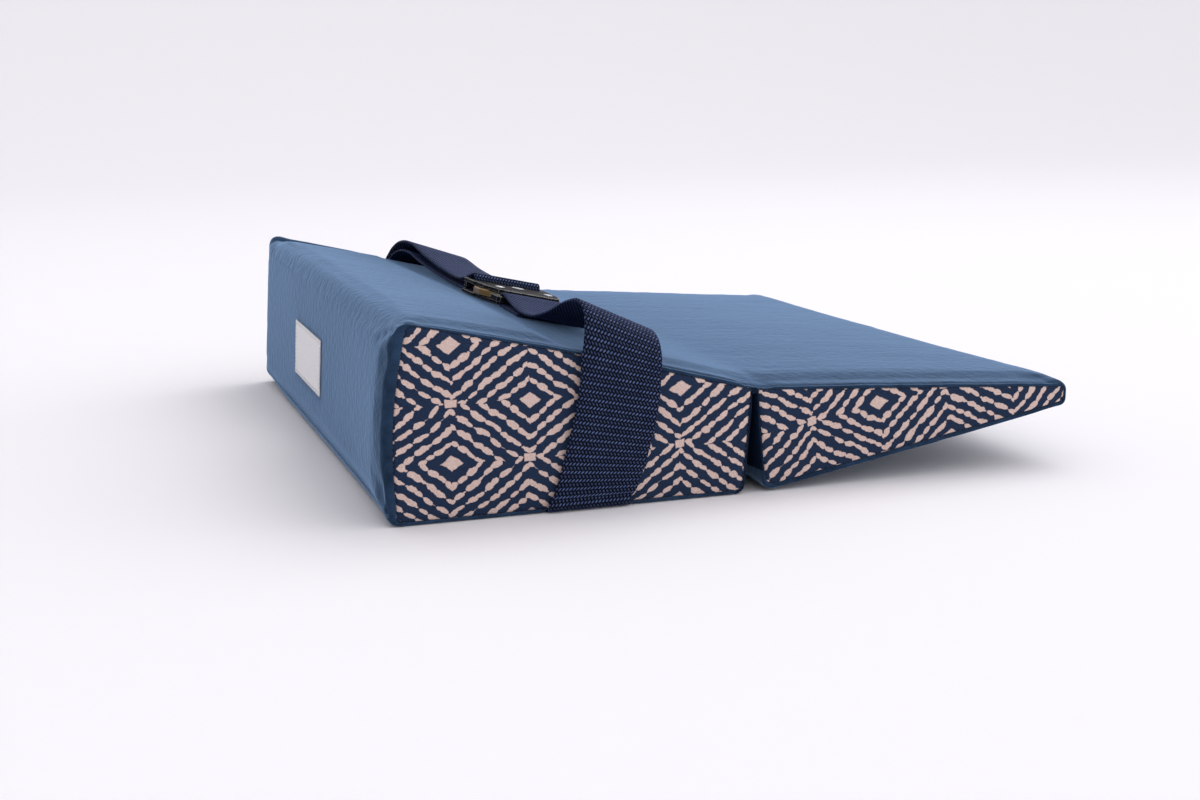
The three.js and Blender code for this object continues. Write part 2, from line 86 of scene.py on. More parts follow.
def drift(u, v, seed):
    """Smooth seeded noise between about -1 and 1 over two coordinates, one bump to a unit."""
    size = 64
    lattice = np.random.default_rng(seed).uniform(-1, 1, (size, size))
    u, v = np.broadcast_arrays(np.asarray(u, float), np.asarray(v, float))
    iu, iv = np.floor(u).astype(int), np.floor(v).astype(int)
    fu, fv = eased(u - iu), eased(v - iv)

    def corner(a, b):
        return lattice[(iu + a) % size, (iv + b) % size]

    low = corner(0, 0) * (1 - fu) + corner(1, 0) * fu
    high = corner(0, 1) * (1 - fu) + corner(1, 1) * fu
    return low * (1 - fv) + high * fv


def to_row_frame(points):
    """Points of the part, in millimetres, as metres in the row frame."""
    return (np.asarray(points, float) + PART_ZERO) * MM


def laid_at(outline, y):
    """The points of a side view, at y across the pillow."""
    return np.column_stack([outline[:, 0], np.broadcast_to(y, len(outline)), outline[:, 1]])


def settled(points):
    """Points of the part after the far end has settled."""
    points = np.array(points, float)
    x, y, z = points[..., 0], points[..., 1], points[..., 2]
    reach_x, reach_y, reach_z = SETTLED["corner_reach"]
    near_corner = bell(x / reach_x) * bell((WIDTH / 2 - y) / reach_y) * bell(z / reach_z)
    far = np.clip((y - NEAR_Y) / WIDTH, 0, 1) * np.clip(z / SETTLED["whole_above"], 0, 1)
    rise = far * np.interp(x, (FRONT_EDGE[0], TIP_X), (SETTLED["front"], SETTLED["tip"]))
    points[..., 2] += rise + SETTLED["corner"] * near_corner
    return points


def straight_top(x):
    """The height of the straight top of the thick wedge."""
    return FOLD[1] + (FOLD[0] - x) * math.tan(SLOPE)


def cross2(a, b):
    return a[..., 0] * b[..., 1] - a[..., 1] * b[..., 0]


def rounded_outline(rows, at, radius, bow, flatness):
    """A closed outline through the corners of a table, with its edges bowed and its corners rounded."""
    corners = np.stack(columns(rows, *at), axis=1)
    span = np.roll(corners, -1, axis=0) - corners
    length = np.linalg.norm(span, axis=1)
    outward = np.stack([span[:, 1], -span[:, 0]], axis=1) / length[:, None]
    before = np.roll(span, 1, axis=0)
    cut = radius * np.tan(np.abs(np.arctan2(cross2(before, span), (before * span).sum(axis=1))) / 2)

    def on_edge(i, t):
        t = np.atleast_1d(t)[:, None]
        return corners[i] + span[i] * t + outward[i] * bow[i] * np.sin(np.pi * t) ** flatness

    def heading(i, t):
        steep = flatness * np.pi * np.cos(np.pi * t) * np.sin(np.pi * t) ** (flatness - 1)
        return span[i] + outward[i] * bow[i] * steep

    outline = []
    for i, row in enumerate(rows):
        k, h = (i + 1) % len(rows), i - 1
        first, last = cut[i] / length[i], 1 - cut[k] / length[i]
        ends = 1 - cut[i] / length[h]
        enter, leave = on_edge(h, ends)[0], on_edge(i, first)[0]
        going, gone = heading(h, ends), heading(i, first)
        middle = enter + going * cross2(leave - enter, gone) / cross2(going, gone)
        s = np.linspace(0, 1, row["round_steps"], endpoint=False)[:, None]
        outline.append((1 - s) ** 2 * enter + 2 * s * (1 - s) * middle + s**2 * leave)
        outline.append(on_edge(i, np.linspace(first, last, row["edge_steps"], endpoint=False)))
    return np.concatenate(outline)


def grid_faces(rings, count):
    """Quads between closed rings of count points that follow one another."""
    k, i = np.meshgrid(np.arange(rings - 1), np.arange(count), indexing="ij")
    a, b = k * count + i, k * count + (i + 1) % count
    return np.stack([a, a + count, b + count, b], axis=-1).reshape(-1, 4).tolist()


def closed_faces(rings, count):
    """Faces of a tube of rings that is closed by a flat face at each end."""
    last = (rings - 1) * count
    return grid_faces(rings, count) + [list(range(count)), [last + i for i in reversed(range(count))]]


def mesh_piece(name, points, faces):
    """A smooth mesh object of points in the row frame."""
    mesh = bpy.data.meshes.new(name)
    mesh.from_pydata([tuple(p) for p in points], [], faces)
    mesh.validate()
    mesh.shade_smooth()
    piece = bpy.data.objects.new(name, mesh)
    bpy.context.scene.collection.objects.link(piece)
    return piece


def lay_map(piece, name, at_vertex):
    """Stores two lengths in metres for each vertex as a UV map that a material reads."""
    layer = piece.data.uv_layers.new(name=name)
    loops = np.zeros(len(piece.data.loops), np.int32)
    piece.data.loops.foreach_get("vertex_index", loops)
    layer.data.foreach_set("uv", np.asarray(at_vertex, np.float32)[loops].ravel())


# Materials


def linear(colour, share=1.0):
    """An sRGB hex colour as linear RGBA, dimmed to a share of its light."""
    parts = [int(colour[i : i + 2], 16) / 255 for i in (1, 3, 5)]
    return [share * (c / 12.92 if c <= 0.04045 else ((c + 0.055) / 1.055) ** 2.4) for c in parts] + [1.0]


def put(tree, kind, inputs=None, **settings):
    """Adds a node with its settings, its values and its links, and returns the first output that its
    settings use. A Mix takes its share at 0, its numbers at 2 and 3, and its colours at 6 and 7."""
    made = tree.nodes.new("ShaderNode" + kind)
    for name, value in settings.items():
        setattr(made, name, value)
    for socket, value in (inputs or {}).items():
        if isinstance(value, bpy.types.NodeSocket):
            tree.links.new(value, made.inputs[socket])
        else:
            made.inputs[socket].default_value = value
    return next((output for output in made.outputs if output.enabled), None)


def new_material(name):
    """An empty material and its node tree."""
    material = bpy.data.materials.new(name)
    material.use_nodes = True
    material.node_tree.nodes.clear()
    return material, material.node_tree


def brushed_microfibre():
    """Polyester microfibre, woven and then sanded so that short fibres stand up: dark navy when looked at
    straight on, pale blue at a glancing angle, with faint slubs along the cloth."""
    slub_wide, slub_long, patch_size = 5 * MM, 16 * MM, 50 * MM
    # Real threads are 0.3 mm apart and the tufts of the nap about a millimetre wide. Both are too fine to
    # show, so the ribs are drawn 1.2 mm apart and the tufts 6 mm wide.
    rib_wide, rib_long, tuft = 1.2 * MM, 5 * MM, 6 * MM
    material, tree = new_material("brushed_microfibre")
    cloth = put(tree, "UVMap", uv_map="cloth")
    slubs = put(tree, "Mapping", {"Vector": cloth, "Scale": (1 / slub_wide, 1 / slub_long, 1)})
    slub = put(tree, "TexNoise", {"Vector": slubs, "Scale": 1.0, "Detail": 5.0, "Roughness": 0.7})
    patch = put(tree, "TexNoise", {"Vector": cloth, "Scale": 1 / patch_size, "Detail": 4.0})
    streak = put(tree, "Math", {0: slub, 1: 0.65}, operation="MULTIPLY")
    shade = put(tree, "Math", {0: patch, 1: 0.35, 2: streak}, operation="MULTIPLY_ADD")
    colour = put(tree, "ValToRGB", {"Fac": shade})
    tones = ((0.36, "#19293c"), (0.64, "#2d435f"))
    for stop, (position, tone) in zip(colour.node.color_ramp.elements, tones):
        stop.position, stop.color = position, linear(tone)
    ribs = put(tree, "Mapping", {"Vector": cloth, "Scale": (1 / rib_wide, 1 / rib_long, 1)})
    rib = put(tree, "TexNoise", {"Vector": ribs, "Scale": 1.0, "Detail": 2.0})
    tufts = put(tree, "Mapping", {"Vector": cloth, "Scale": (1 / tuft, 1 / tuft, 1)})
    nap = put(tree, "TexNoise", {"Vector": tufts, "Scale": 1.0, "Detail": 3.0, "Roughness": 0.6})
    height = put(tree, "Math", {0: rib, 1: 0.15, 2: nap}, operation="MULTIPLY_ADD")
    normal = put(tree, "Bump", {"Height": height, "Strength": 0.6, "Distance": 0.9 * MM})
    shader = put(tree, "BsdfPrincipled", {
        "Base Color": colour, "Roughness": 0.9, "Specular IOR Level": 0.05, "Normal": normal,
        "Sheen Weight": 1.0, "Sheen Roughness": 0.34, "Sheen Tint": linear("#acd2ff"),
    })
    put(tree, "OutputMaterial", {"Surface": shader})
    return material


def woven_cloth_painted_shade():
    """Plain woven polyester, not sanded, with a fine rib and no nap, for the faces in the gap between the
    wedges. Its flat, dark navy is darker than the cover's cloth and is painted shade for that narrow gap.
    """
    # The ribs are drawn coarser than they are, so that they show.
    rib_wide, rib_long = 1.2 * MM, 6 * MM
    material, tree = new_material("woven_cloth_painted_shade")
    cloth = put(tree, "UVMap", uv_map="cloth")
    ribs = put(tree, "Mapping", {"Vector": cloth, "Scale": (1 / rib_wide, 1 / rib_long, 1)})
    rib = put(tree, "TexNoise", {"Vector": ribs, "Scale": 1.0, "Detail": 3.0})
    # Painted shade: both tones are a darker navy than the cover's cloth, standing in for the shade in the gap
    # between the wedges.
    colour = put(tree, "Mix", {0: rib, 6: linear("#0c1726"), 7: linear("#182a44")}, data_type="RGBA")
    normal = put(tree, "Bump", {"Height": rib, "Strength": 0.3, "Distance": 0.4 * MM})
    shader = put(tree, "BsdfPrincipled", {
        "Base Color": colour, "Roughness": 0.9, "Specular IOR Level": 0.05, "Normal": normal,
    })
    put(tree, "OutputMaterial", {"Surface": shader})
    return material


def printed_canvas(name, turn):
    """Cotton canvas with a pigment print: a matt navy ground, and nested lozenges in strokes of pale beads.
    turn is the angle at which the cloth was cut."""
    half_wide, half_high, bead_length, rings = 46 * MM, 34 * MM, 5.6 * MM, 4
    # The hand that drew the strokes shook in two ways: slowly along a stroke, and quickly at its edges. A
    # row is the length of a shake, its detail and how far it sways.
    shakes = ((16 * MM, 1.0, 5 * MM), (2.5 * MM, 2.0, 1.5 * MM))
    # Threads are drawn 0.9 mm apart and the twill's ribs 1.6 mm, so that they show. One wave of the wave
    # texture is 0.314 long at a scale of 1.
    thread_pitch, rib_pitch, rib_lean, wave = 0.9 * MM, 1.6 * MM, 55.0, 0.314
    material, tree = new_material(name)
    place = put(tree, "TexCoord").node.outputs["Object"]
    moved = place
    for length, detail, sway in shakes:
        noise = put(tree, "TexNoise", {"Vector": place, "Scale": 1 / length, "Detail": detail})
        shake = noise.node.outputs["Color"]
        centred = put(tree, "VectorMath", {0: shake, 1: (-0.5, -0.5, -0.5)}, operation="ADD")
        moved = put(tree, "VectorMath", {0: centred, 1: (sway,) * 3, 2: moved}, operation="MULTIPLY_ADD")
    turned = put(tree, "Mapping", {"Vector": moved, "Rotation": (0.0, math.radians(turn), 0.0)})
    across = put(tree, "SeparateXYZ", {0: turned})
    wide = put(tree, "Math", {0: across, 1: 2 * half_wide}, operation="DIVIDE")
    high = put(tree, "Math", {0: across.node.outputs["Z"], 1: 2 * half_high}, operation="DIVIDE")
    # Two slanting coordinates cut the cloth into lozenges, and give a place within each.
    local, cell = [], []
    for kind in ("ADD", "SUBTRACT"):
        value = put(tree, "Math", {0: wide, 1: high}, operation=kind)
        part = put(tree, "Math", {0: value}, operation="FRACT")
        local.append(put(tree, "Math", {0: part, 1: 0.5}, operation="SUBTRACT"))
        cell.append(put(tree, "Math", {0: value}, operation="FLOOR"))
    size = [put(tree, "Math", {0: value}, operation="ABSOLUTE") for value in local]
    reach = put(tree, "Math", {0: size[0], 1: size[1]}, operation="MAXIMUM")
    other = put(tree, "Math", {0: size[0], 1: size[1]}, operation="MINIMUM")
    first = put(tree, "Math", {0: size[0], 1: size[1]}, operation="GREATER_THAN")
    run = put(tree, "Mix", {0: first, 2: local[0], 3: local[1]})
    ring = put(tree, "Math", {0: reach, 1: 2 * rings}, operation="MULTIPLY")
    number = put(tree, "Math", {0: ring}, operation="FLOOR")
    within = put(tree, "Math", {0: ring}, operation="FRACT")
    middle = put(tree, "Math", {0: within, 1: 0.5}, operation="SUBTRACT")
    off_line = put(tree, "Math", {0: middle}, operation="ABSOLUTE")
    # Each side of each ring has beads of its own lengths and widths: a domed belly, or a neck between two.
    seed = put(tree, "CombineXYZ", {"X": cell[0], "Y": cell[1], "Z": number})
    chance = put(tree, "TexWhiteNoise", {"Vector": seed}, noise_dimensions="3D")
    offset = put(tree, "Math", {0: chance, 1: 37.0, 2: first}, operation="MULTIPLY_ADD")
    per_side = math.hypot(half_wide, half_high) / bead_length
    beads = put(tree, "Math", {0: run, 1: per_side, 2: offset}, operation="MULTIPLY_ADD")
    bead = put(tree, "TexVoronoi", {"W": beads, "Scale": 1.0, "Randomness": 0.9}, voronoi_dimensions="1D")
    own = put(tree, "TexWhiteNoise", {"W": bead.node.outputs["W"]}, noise_dimensions="1D")
    squared = put(tree, "Math", {0: bead, 1: bead}, operation="MULTIPLY")
    domed = put(tree, "Math", {0: squared, 1: -3.2, 2: 1.0}, operation="MULTIPLY_ADD")
    above = put(tree, "Math", {0: domed, 1: 0.0}, operation="MAXIMUM")
    dome = put(tree, "Math", {0: above}, operation="SQRT")
    belly = put(tree, "MapRange", {"Value": own, "To Min": 0.185, "To Max": 0.29})
    girth = put(tree, "Math", {0: dome, 1: belly}, operation="MULTIPLY")
    neck = put(tree, "MapRange", {"Value": own, "To Min": -0.04, "To Max": 0.13})
    stroke = put(tree, "Math", {0: girth, 1: neck}, operation="MAXIMUM")
    # Strokes thin a little where two sides of a ring meet.
    corner = put(tree, "Math", {0: reach, 1: other}, operation="SUBTRACT")
    meets = put(tree, "MapRange", {"Value": corner, "From Max": 0.03, "To Min": 0.85, "To Max": 1.0})
    width = put(tree, "Math", {0: stroke, 1: meets}, operation="MULTIPLY")
    inside = put(tree, "Math", {0: width, 1: off_line}, operation="SUBTRACT")
    stroke_mask = put(tree, "MapRange", {"Value": inside, "From Min": -0.025, "From Max": 0.025})
    # A solid heart fills the innermost ring, and a small lozenge the crossing between four others.
    heart = put(tree, "MapRange", {"Value": ring, "From Min": 0.62, "From Max": 0.55})
    centre = put(tree, "Math", {0: number, 1: 0.5}, operation="LESS_THAN")
    ringed = put(tree, "Mix", {0: centre, 2: stroke_mask, 3: heart})
    outwards = put(tree, "Math", {0: reach, 1: other}, operation="ADD")
    crossing = put(tree, "MapRange", {"Value": outwards, "From Min": 0.925, "From Max": 0.935})
    print_mask = put(tree, "Math", {0: ringed, 1: crossing}, operation="MAXIMUM")
    thread = put(tree, "TexNoise", {"Vector": place, "Scale": 1 / thread_pitch, "Detail": 2.0})
    ground = put(tree, "Mix", {0: thread, 6: linear("#162235"), 7: linear("#2c3c59")}, data_type="RGBA")
    pigment = put(tree, "Mix", {0: thread, 6: linear("#bb988e"), 7: linear("#eedad2")}, data_type="RGBA")
    colour = put(tree, "Mix", {0: print_mask, 6: ground, 7: pigment}, data_type="RGBA")
    lean = put(tree, "Mapping", {"Vector": place, "Rotation": (0.0, math.radians(rib_lean), 0.0)})
    twill = put(tree, "TexWave", {"Vector": lean, "Scale": wave / rib_pitch, "Distortion": 1.0})
    height = put(tree, "Math", {0: twill, 1: 0.6, 2: thread}, operation="MULTIPLY_ADD")
    normal = put(tree, "Bump", {"Height": height, "Strength": 0.35, "Distance": 0.4 * MM})
    shader = put(tree, "BsdfPrincipled", {
        "Base Color": colour, "Roughness": 0.9, "Specular IOR Level": 0.08, "Normal": normal,
        "Sheen Weight": 0.03, "Sheen Roughness": 0.5,
    })
    put(tree, "OutputMaterial", {"Surface": shader})
    return material


def ribbed_nylon_webbing():
    """Nylon webbing woven in a close herringbone, each float a small slanting pip. Light and shade are
    painted into its colour: the pips' pale tone is partly a painted highlight where they catch the light,
    every second row of them is painted darker because it leans away from the light, and the hollows between
    them are painted nearly black as shade."""
    pitch_across, pitch_along, worn_patch = 2.2 * MM, 2.3 * MM, 8 * MM
    # A pip's slant, its length for its width, and the distances from its middle at which it ends and is full.
    slope, longer, ends, full = 0.6, 0.7, 0.42, 0.05
    material, tree = new_material("ribbed_nylon_webbing")
    weave = put(tree, "UVMap", uv_map="webbing")
    lie = put(tree, "SeparateXYZ", {0: weave})
    along = put(tree, "Math", {0: lie.node.outputs["Y"], 1: pitch_along}, operation="DIVIDE")
    row = put(tree, "Math", {0: along}, operation="FLOOR")
    odd = put(tree, "Math", {0: row, 1: 2.0}, operation="FLOORED_MODULO")
    part = put(tree, "Math", {0: along}, operation="FRACT")
    up = put(tree, "Math", {0: part, 1: 0.5}, operation="SUBTRACT")
    slant = put(tree, "MapRange", {"Value": odd, "To Min": -slope, "To Max": slope})
    leaned = put(tree, "Math", {0: up, 1: slant}, operation="MULTIPLY")
    across = put(tree, "Math", {0: lie, 1: pitch_across}, operation="DIVIDE")
    shifted = put(tree, "Math", {0: across, 1: leaned}, operation="ADD")
    stepped = put(tree, "Math", {0: odd, 1: 0.5, 2: shifted}, operation="MULTIPLY_ADD")
    place = put(tree, "Math", {0: stepped}, operation="FRACT")
    side = put(tree, "Math", {0: place, 1: 0.5}, operation="SUBTRACT")
    flat = put(tree, "Math", {0: up, 1: longer}, operation="MULTIPLY")
    near = put(tree, "CombineXYZ", {"X": side, "Y": flat})
    off = put(tree, "VectorMath", {0: near}, operation="LENGTH")
    rounding = {"Value": off, "From Min": ends, "From Max": full}
    pip = put(tree, "MapRange", rounding, interpolation_type="SMOOTHSTEP")
    # Painted shade: every second row, which leans away from the light, is drawn at half its brightness.
    lit = put(tree, "MapRange", {"Value": odd, "To Min": 1.0, "To Max": 0.5})
    shown = put(tree, "Math", {0: pip, 1: lit}, operation="MULTIPLY")
    worn = put(tree, "TexNoise", {"Vector": weave, "Scale": 1 / worn_patch, "Detail": 3.0})
    # The pips' pale tones are partly a painted highlight, and the near black of the hollows is painted shade
    # between the floats.
    tone = put(tree, "Mix", {0: worn, 6: linear("#37456e"), 7: linear("#7083b6")}, data_type="RGBA")
    colour = put(tree, "Mix", {0: shown, 6: linear("#04070e"), 7: tone}, data_type="RGBA")
    normal = put(tree, "Bump", {"Height": pip, "Strength": 0.7, "Distance": 0.5 * MM})
    shader = put(tree, "BsdfPrincipled", {
        "Base Color": colour, "Roughness": 0.6, "Specular IOR Level": 0.03, "Normal": normal,
        "Sheen Weight": 0.19, "Sheen Roughness": 0.3, "Sheen Tint": linear("#7890e0"),
    })
    put(tree, "OutputMaterial", {"Surface": shader})
    return material


def woven_label_tape():
    """Polyester satin tape: bright white, smooth, with a faint weave across it."""
    # The threads are drawn coarser than they are, so that they show.
    thread_long, thread_wide = 4 * MM, 1.2 * MM
    material, tree = new_material("woven_label_tape")
    place = put(tree, "TexCoord").node.outputs["Object"]
    weave = put(tree, "Mapping", {"Vector": place, "Scale": (1.0, 1 / thread_long, 1 / thread_wide)})
    thread = put(tree, "TexNoise", {"Vector": weave, "Scale": 1.0, "Detail": 2.0})
    colour = put(tree, "Mix", {0: thread, 6: linear("#dedce0"), 7: linear("#f3f1f3")}, data_type="RGBA")
    normal = put(tree, "Bump", {"Height": thread, "Strength": 0.25, "Distance": 0.3 * MM})
    shader = put(tree, "BsdfPrincipled", {
        "Base Color": colour, "Roughness": 0.6, "Specular IOR Level": 0.3, "Normal": normal,
        "Sheen Weight": 0.2,
    })
    put(tree, "OutputMaterial", {"Surface": shader})
    return material


def sewing_thread(name, tone):
    """Twisted polyester sewing thread: a soft sheen on a slightly uneven strand."""
    twist = 0.6 * MM
    material, tree = new_material(name)
    place = put(tree, "TexCoord").node.outputs["Object"]
    ply = put(tree, "TexNoise", {"Vector": place, "Scale": 1 / twist, "Detail": 1.0})
    colour = put(tree, "Mix", {0: ply, 6: linear(tone, 0.6), 7: linear(tone)}, data_type="RGBA")
    normal = put(tree, "Bump", {"Height": ply, "Strength": 0.4, "Distance": 0.2 * MM})
    shader = put(tree, "BsdfPrincipled", {
        "Base Color": colour, "Roughness": 0.6, "Normal": normal, "Sheen Weight": 0.2,
    })
    put(tree, "OutputMaterial", {"Surface": shader})
    return material


def worn_metal(name, body, bright, roughness, worn_roughness, coated=False):
    """A metal whose satin finish has rubbed through on its edges, which then shine. A coated one is dull and
    not metallic where its coat is whole."""
    # The lines of the brush are finer than 0.1 mm, and are drawn 0.6 mm wide so that they show.
    edge_round, blotch_size, line_wide, line_long = 0.7 * MM, 3 * MM, 0.6 * MM, 8 * MM
    material, tree = new_material(name)
    place = put(tree, "TexCoord").node.outputs["Object"]
    rounded = put(tree, "Bevel", {"Radius": edge_round}, samples=6)
    facing = put(tree, "NewGeometry").node.outputs["Normal"]
    agree = put(tree, "VectorMath", {0: rounded, 1: facing}, operation="DOT_PRODUCT")
    spots = {"Vector": place, "Scale": 1 / blotch_size, "Detail": 4.0, "Roughness": 0.65}
    blotch = put(tree, "TexNoise", spots)
    ragged = put(tree, "Math", {0: blotch, 1: 0.10, 2: agree}, operation="MULTIPLY_ADD")
    worn = put(tree, "MapRange", {"Value": ragged, "From Min": 1.03, "From Max": 0.95})
    lines = put(tree, "Mapping", {"Vector": place, "Scale": (1 / line_wide, 1 / line_long, 1 / line_wide)})
    grain = put(tree, "TexNoise", {"Vector": lines, "Scale": 1.0, "Detail": 2.0})
    tone = put(tree, "Mix", {0: grain, 6: linear(body, 0.75), 7: linear(body)}, data_type="RGBA")
    colour = put(tree, "Mix", {0: worn, 6: tone, 7: linear(bright)}, data_type="RGBA")
    gloss = put(tree, "MapRange", {"Value": worn, "To Min": roughness, "To Max": worn_roughness})
    normal = put(tree, "Bump", {"Height": grain, "Strength": 0.12, "Distance": 0.2 * MM})
    shader = put(tree, "BsdfPrincipled", {
        "Base Color": colour, "Metallic": worn if coated else 1.0, "Roughness": gloss, "Normal": normal,
        "Specular IOR Level": 0.02 if coated else 0.5,
    })
    put(tree, "OutputMaterial", {"Surface": shader})
    return material


def studio_paper():
    """Matt white background paper."""
    material, tree = new_material("studio_paper")
    shader = put(tree, "BsdfPrincipled", {
        "Base Color": linear("#f7f5f8"), "Roughness": 0.9, "Specular IOR Level": 0.0,
    })
    put(tree, "OutputMaterial", {"Surface": shader})
    return material


microfibre = brushed_microfibre()
gap_painted_shade = woven_cloth_painted_shade()
thick_print = printed_canvas("printed_canvas_thick", turn=0.0)
thin_print = printed_canvas("printed_canvas_thin", turn=10.0)
webbing = ribbed_nylon_webbing()
label_tape = woven_label_tape()
navy_thread = sewing_thread("navy_sewing_thread", "#2a3756")
white_thread = sewing_thread("white_sewing_thread", "#e4e2e4")
# Cast metal under a dark satin lacquer: near black, with bright lines where the edges are bare.
gunmetal = worn_metal(
    "gunmetal_lacquer", body="#1d1e20", bright="#d4d1cc", roughness=0.45, worn_roughness=0.28, coated=True
)
# Stamped brass, brushed to a satin: a warm and soft shine.
brass = worn_metal("satin_brass", body="#a98a5c", bright="#dcc594", roughness=0.38, worn_roughness=0.26)
# Steel rivets, pressed and polished: small bright heads.
polished_steel = worn_metal(
    "polished_steel", body="#c0c2c5", bright="#e6e7e9", roughness=0.28, worn_roughness=0.2
)


# The cover: one filled piece of blue cloth over both wedges and the fold between them

# Corners of the pillow's side view, anticlockwise from the near side. A row is a corner and the edge that
# leaves it: where the corner is on the outside and at the seam, the radius of its round, how far the edge
# bows out at the near and the far side, how much more it crowns between them, and the steps of the round
# and of the edge.
COVER = table(
    "edge x z seam_x seam_z radius bow far_bow crown round_steps edge_steps",
    ("underside", 0.0, 0.0, 2.8, 2.4, 5.0, 0.0, 0.0, 0.0, 6, 44),
    ("inner", 214.5, 0.0, 213.2, 2.5, 7.0, 0.6, 0.6, 0.3, 6, 16),
    ("notch", 219.7, 64.6, 218.4, 61.0, 0.7, 0.0, 0.0, 0.0, 2, 2),
    ("thin_inner", 221.7, 64.6, 223.2, 61.0, 0.7, 0.6, 0.6, 0.3, 2, 16),
    ("thin_underside", 227.0, 0.0, 228.6, 3.9, 9.0, 1.0, 1.0, 0.3, 6, 44),
    ("tip", TIP_X, 38.0, 436.2, 41.2, 5.0, 0.3, 0.3, 0.0, 6, 6),
    ("thin_top", TIP_X, 54.0, 436.2, 50.4, 6.0, 0.6, 0.6, 1.2, 6, 62),
    ("top", 220.8, 67.0, 220.8, 63.3, 150.0, 3.2, 2.0, 0.0, 8, 64),
    ("front", 7.4, 116.0, 11.0, 114.2, 7.0, 9.4, 1.2, 0.0, 10, 46),
)
# The near bow dies away across the pillow by this power. The outside bows with a flat middle, by the power
# of a sine. The seam bows by a share of that, as a plain sine, and its rounds are a share of the outside's.
BOW_FADE, BOW_FLATNESS, SEAM_BOW, PLAIN_SINE, SEAM_ROUND = 4.0, 0.5, 0.53, 1.0, 0.6
# The rolls are squarish, so that the front turns the corner sharply, and rounder along the tops.
ROLL_DEPTH, ROLL_STEPS, ROLL_SQUARENESS, TOP_SQUARENESS = 6.0, 11, 4.0, 2.2
POCKET_DEPTH, BODY_STEP, CROWN_FLATNESS = 1.8, 2.5, 0.7
SWELL = {"pressure": 4.0, "frames": 20, "cap": 1.5, "every": (4, 2), "sewn_rings": 2}
# How far the front's near edge stands back, how far in that reaches, and how flat it is down the front.
SHOULDER = {"drop": 2.2, "reach": 7.0, "flatness": 0.4}
# The dip in the top inside the rolled edges, with pairs for the near and the far side: its depth, how much
# deeper it is at the front corner, where its wall starts, how wide that is, and how it rises again.
DIP = {
    "depth": (0.45, 0.7), "corner": (0.0, 4.0), "corner_x": 4.0, "corner_reach": 60.0,
    "starts": 4.5, "wall": (9.0, 6.5), "flat_to": 10.0, "rise": (8.0, 26.0),
}
PUCKER = {"height": 0.35, "length": 9.0, "across": 500.0, "from_end": 3.0, "reach": 5.0, "seed": 3}
# Creases under the front fold. The front's round is 9 mm long, and its face 108 mm.
CREASE = {
    "depth": 0.26, "wide": 6.5, "long": 9.0, "seed": 5, "bias": 0.1, "round": 9.0, "face": 108.0,
    "below": 3.0, "reach": 4.5, "clear_of_end": 8.0, "fade": 20.0,
}
# Wrinkles. Columns: height, length across the pillow, length round it, seed, and for a fold the height of
# the noise at which it starts.
LOOSE_WAVES = ((0.045, 9.0, 48.0, 7), (0.04, 5.5, 24.0, 11))
SLACK_WAVES = ((0.22, 80.0, 75.0, 13),)
TOP_FOLDS = ((-0.5, 5.5, 36.0, 17, 0.55), (-0.18, 15.0, 80.0, 19, 0.25))
TOP_WAVES = ((0.04, 12.0, 45.0, 37),)
FRONT_LOOSENESS, WRINKLE_FADE = 0.2, 12.0
FOLD_PINCH = {"depth": 0.7, "reach": 12.0}
GROOVE = {"x": 116.0, "half": 26.0, "depth": 2.7, "wall": 3.0}
STRAP_BAND = {
    "near_x": 134.0, "far_x": 129.0, "middle_x": 142.0, "half": 30.0,
    "fade": 16.0, "lift": 2.0, "edge_rise": 4.0,
}


def places():
    """For each point of side_view, the edge that it is on and its place from 0 to 1 along that edge. A round
    belongs to the edge that leaves it, at a place from -1 to 0, less a hair."""
    hair = 0.001
    edges, share = [], []
    for row in COVER:
        edges += [row["edge"]] * (row["round_steps"] + row["edge_steps"])
        share += list(np.linspace(-1, 0, row["round_steps"], endpoint=False) - hair)
        share += list(np.linspace(0, 1, row["edge_steps"], endpoint=False))
    return np.array(edges), np.array(share)


EDGES, SHARE = places()
FRONT_ROUND = (EDGES == "front") & (SHARE < 0)
FOLD_ROUND = (EDGES == "top") & (SHARE < 0)
ON_TOPS = np.isin(EDGES, ["top", "thin_top"])


def softened(tuck):
    """The share of the roll at each point of an outline: a rounder roll along the tops than elsewhere."""
    on_top = ON_TOPS * np.where((SHARE < 0) & ~FOLD_ROUND, 1 + SHARE, 1.0)
    on_top = np.where(FRONT_ROUND, -SHARE, on_top)
    depth = (1 - (1 - tuck) ** ROLL_SQUARENESS) ** (1 / ROLL_SQUARENESS)
    rounder = 1 - (1 - depth**TOP_SQUARENESS) ** (1 / TOP_SQUARENESS)
    return tuck + (rounder - tuck) * np.clip(on_top, 0, 1)


def side_view(far, tuck, puff):
    """One closed outline of the cover, x and z: a round at each corner, then its edge. far goes from 0 at
    the near side to 1 at the far one, tuck from 0 on the outside to 1 at the seam, and puff is the share of
    the crown."""
    radius, near_bow, far_bow, crown = columns(COVER, "radius", "bow", "far_bow", "crown")
    bow = far_bow + (near_bow - far_bow) * (1 - far) ** BOW_FADE
    outside = rounded_outline(COVER, ("x", "z"), radius, bow + crown * puff, BOW_FLATNESS)
    if tuck == 0:
        return outside
    seam = rounded_outline(COVER, ("seam_x", "seam_z"), radius * SEAM_ROUND, bow * SEAM_BOW, PLAIN_SINE)
    return outside + (seam - outside) * softened(tuck)[:, None]


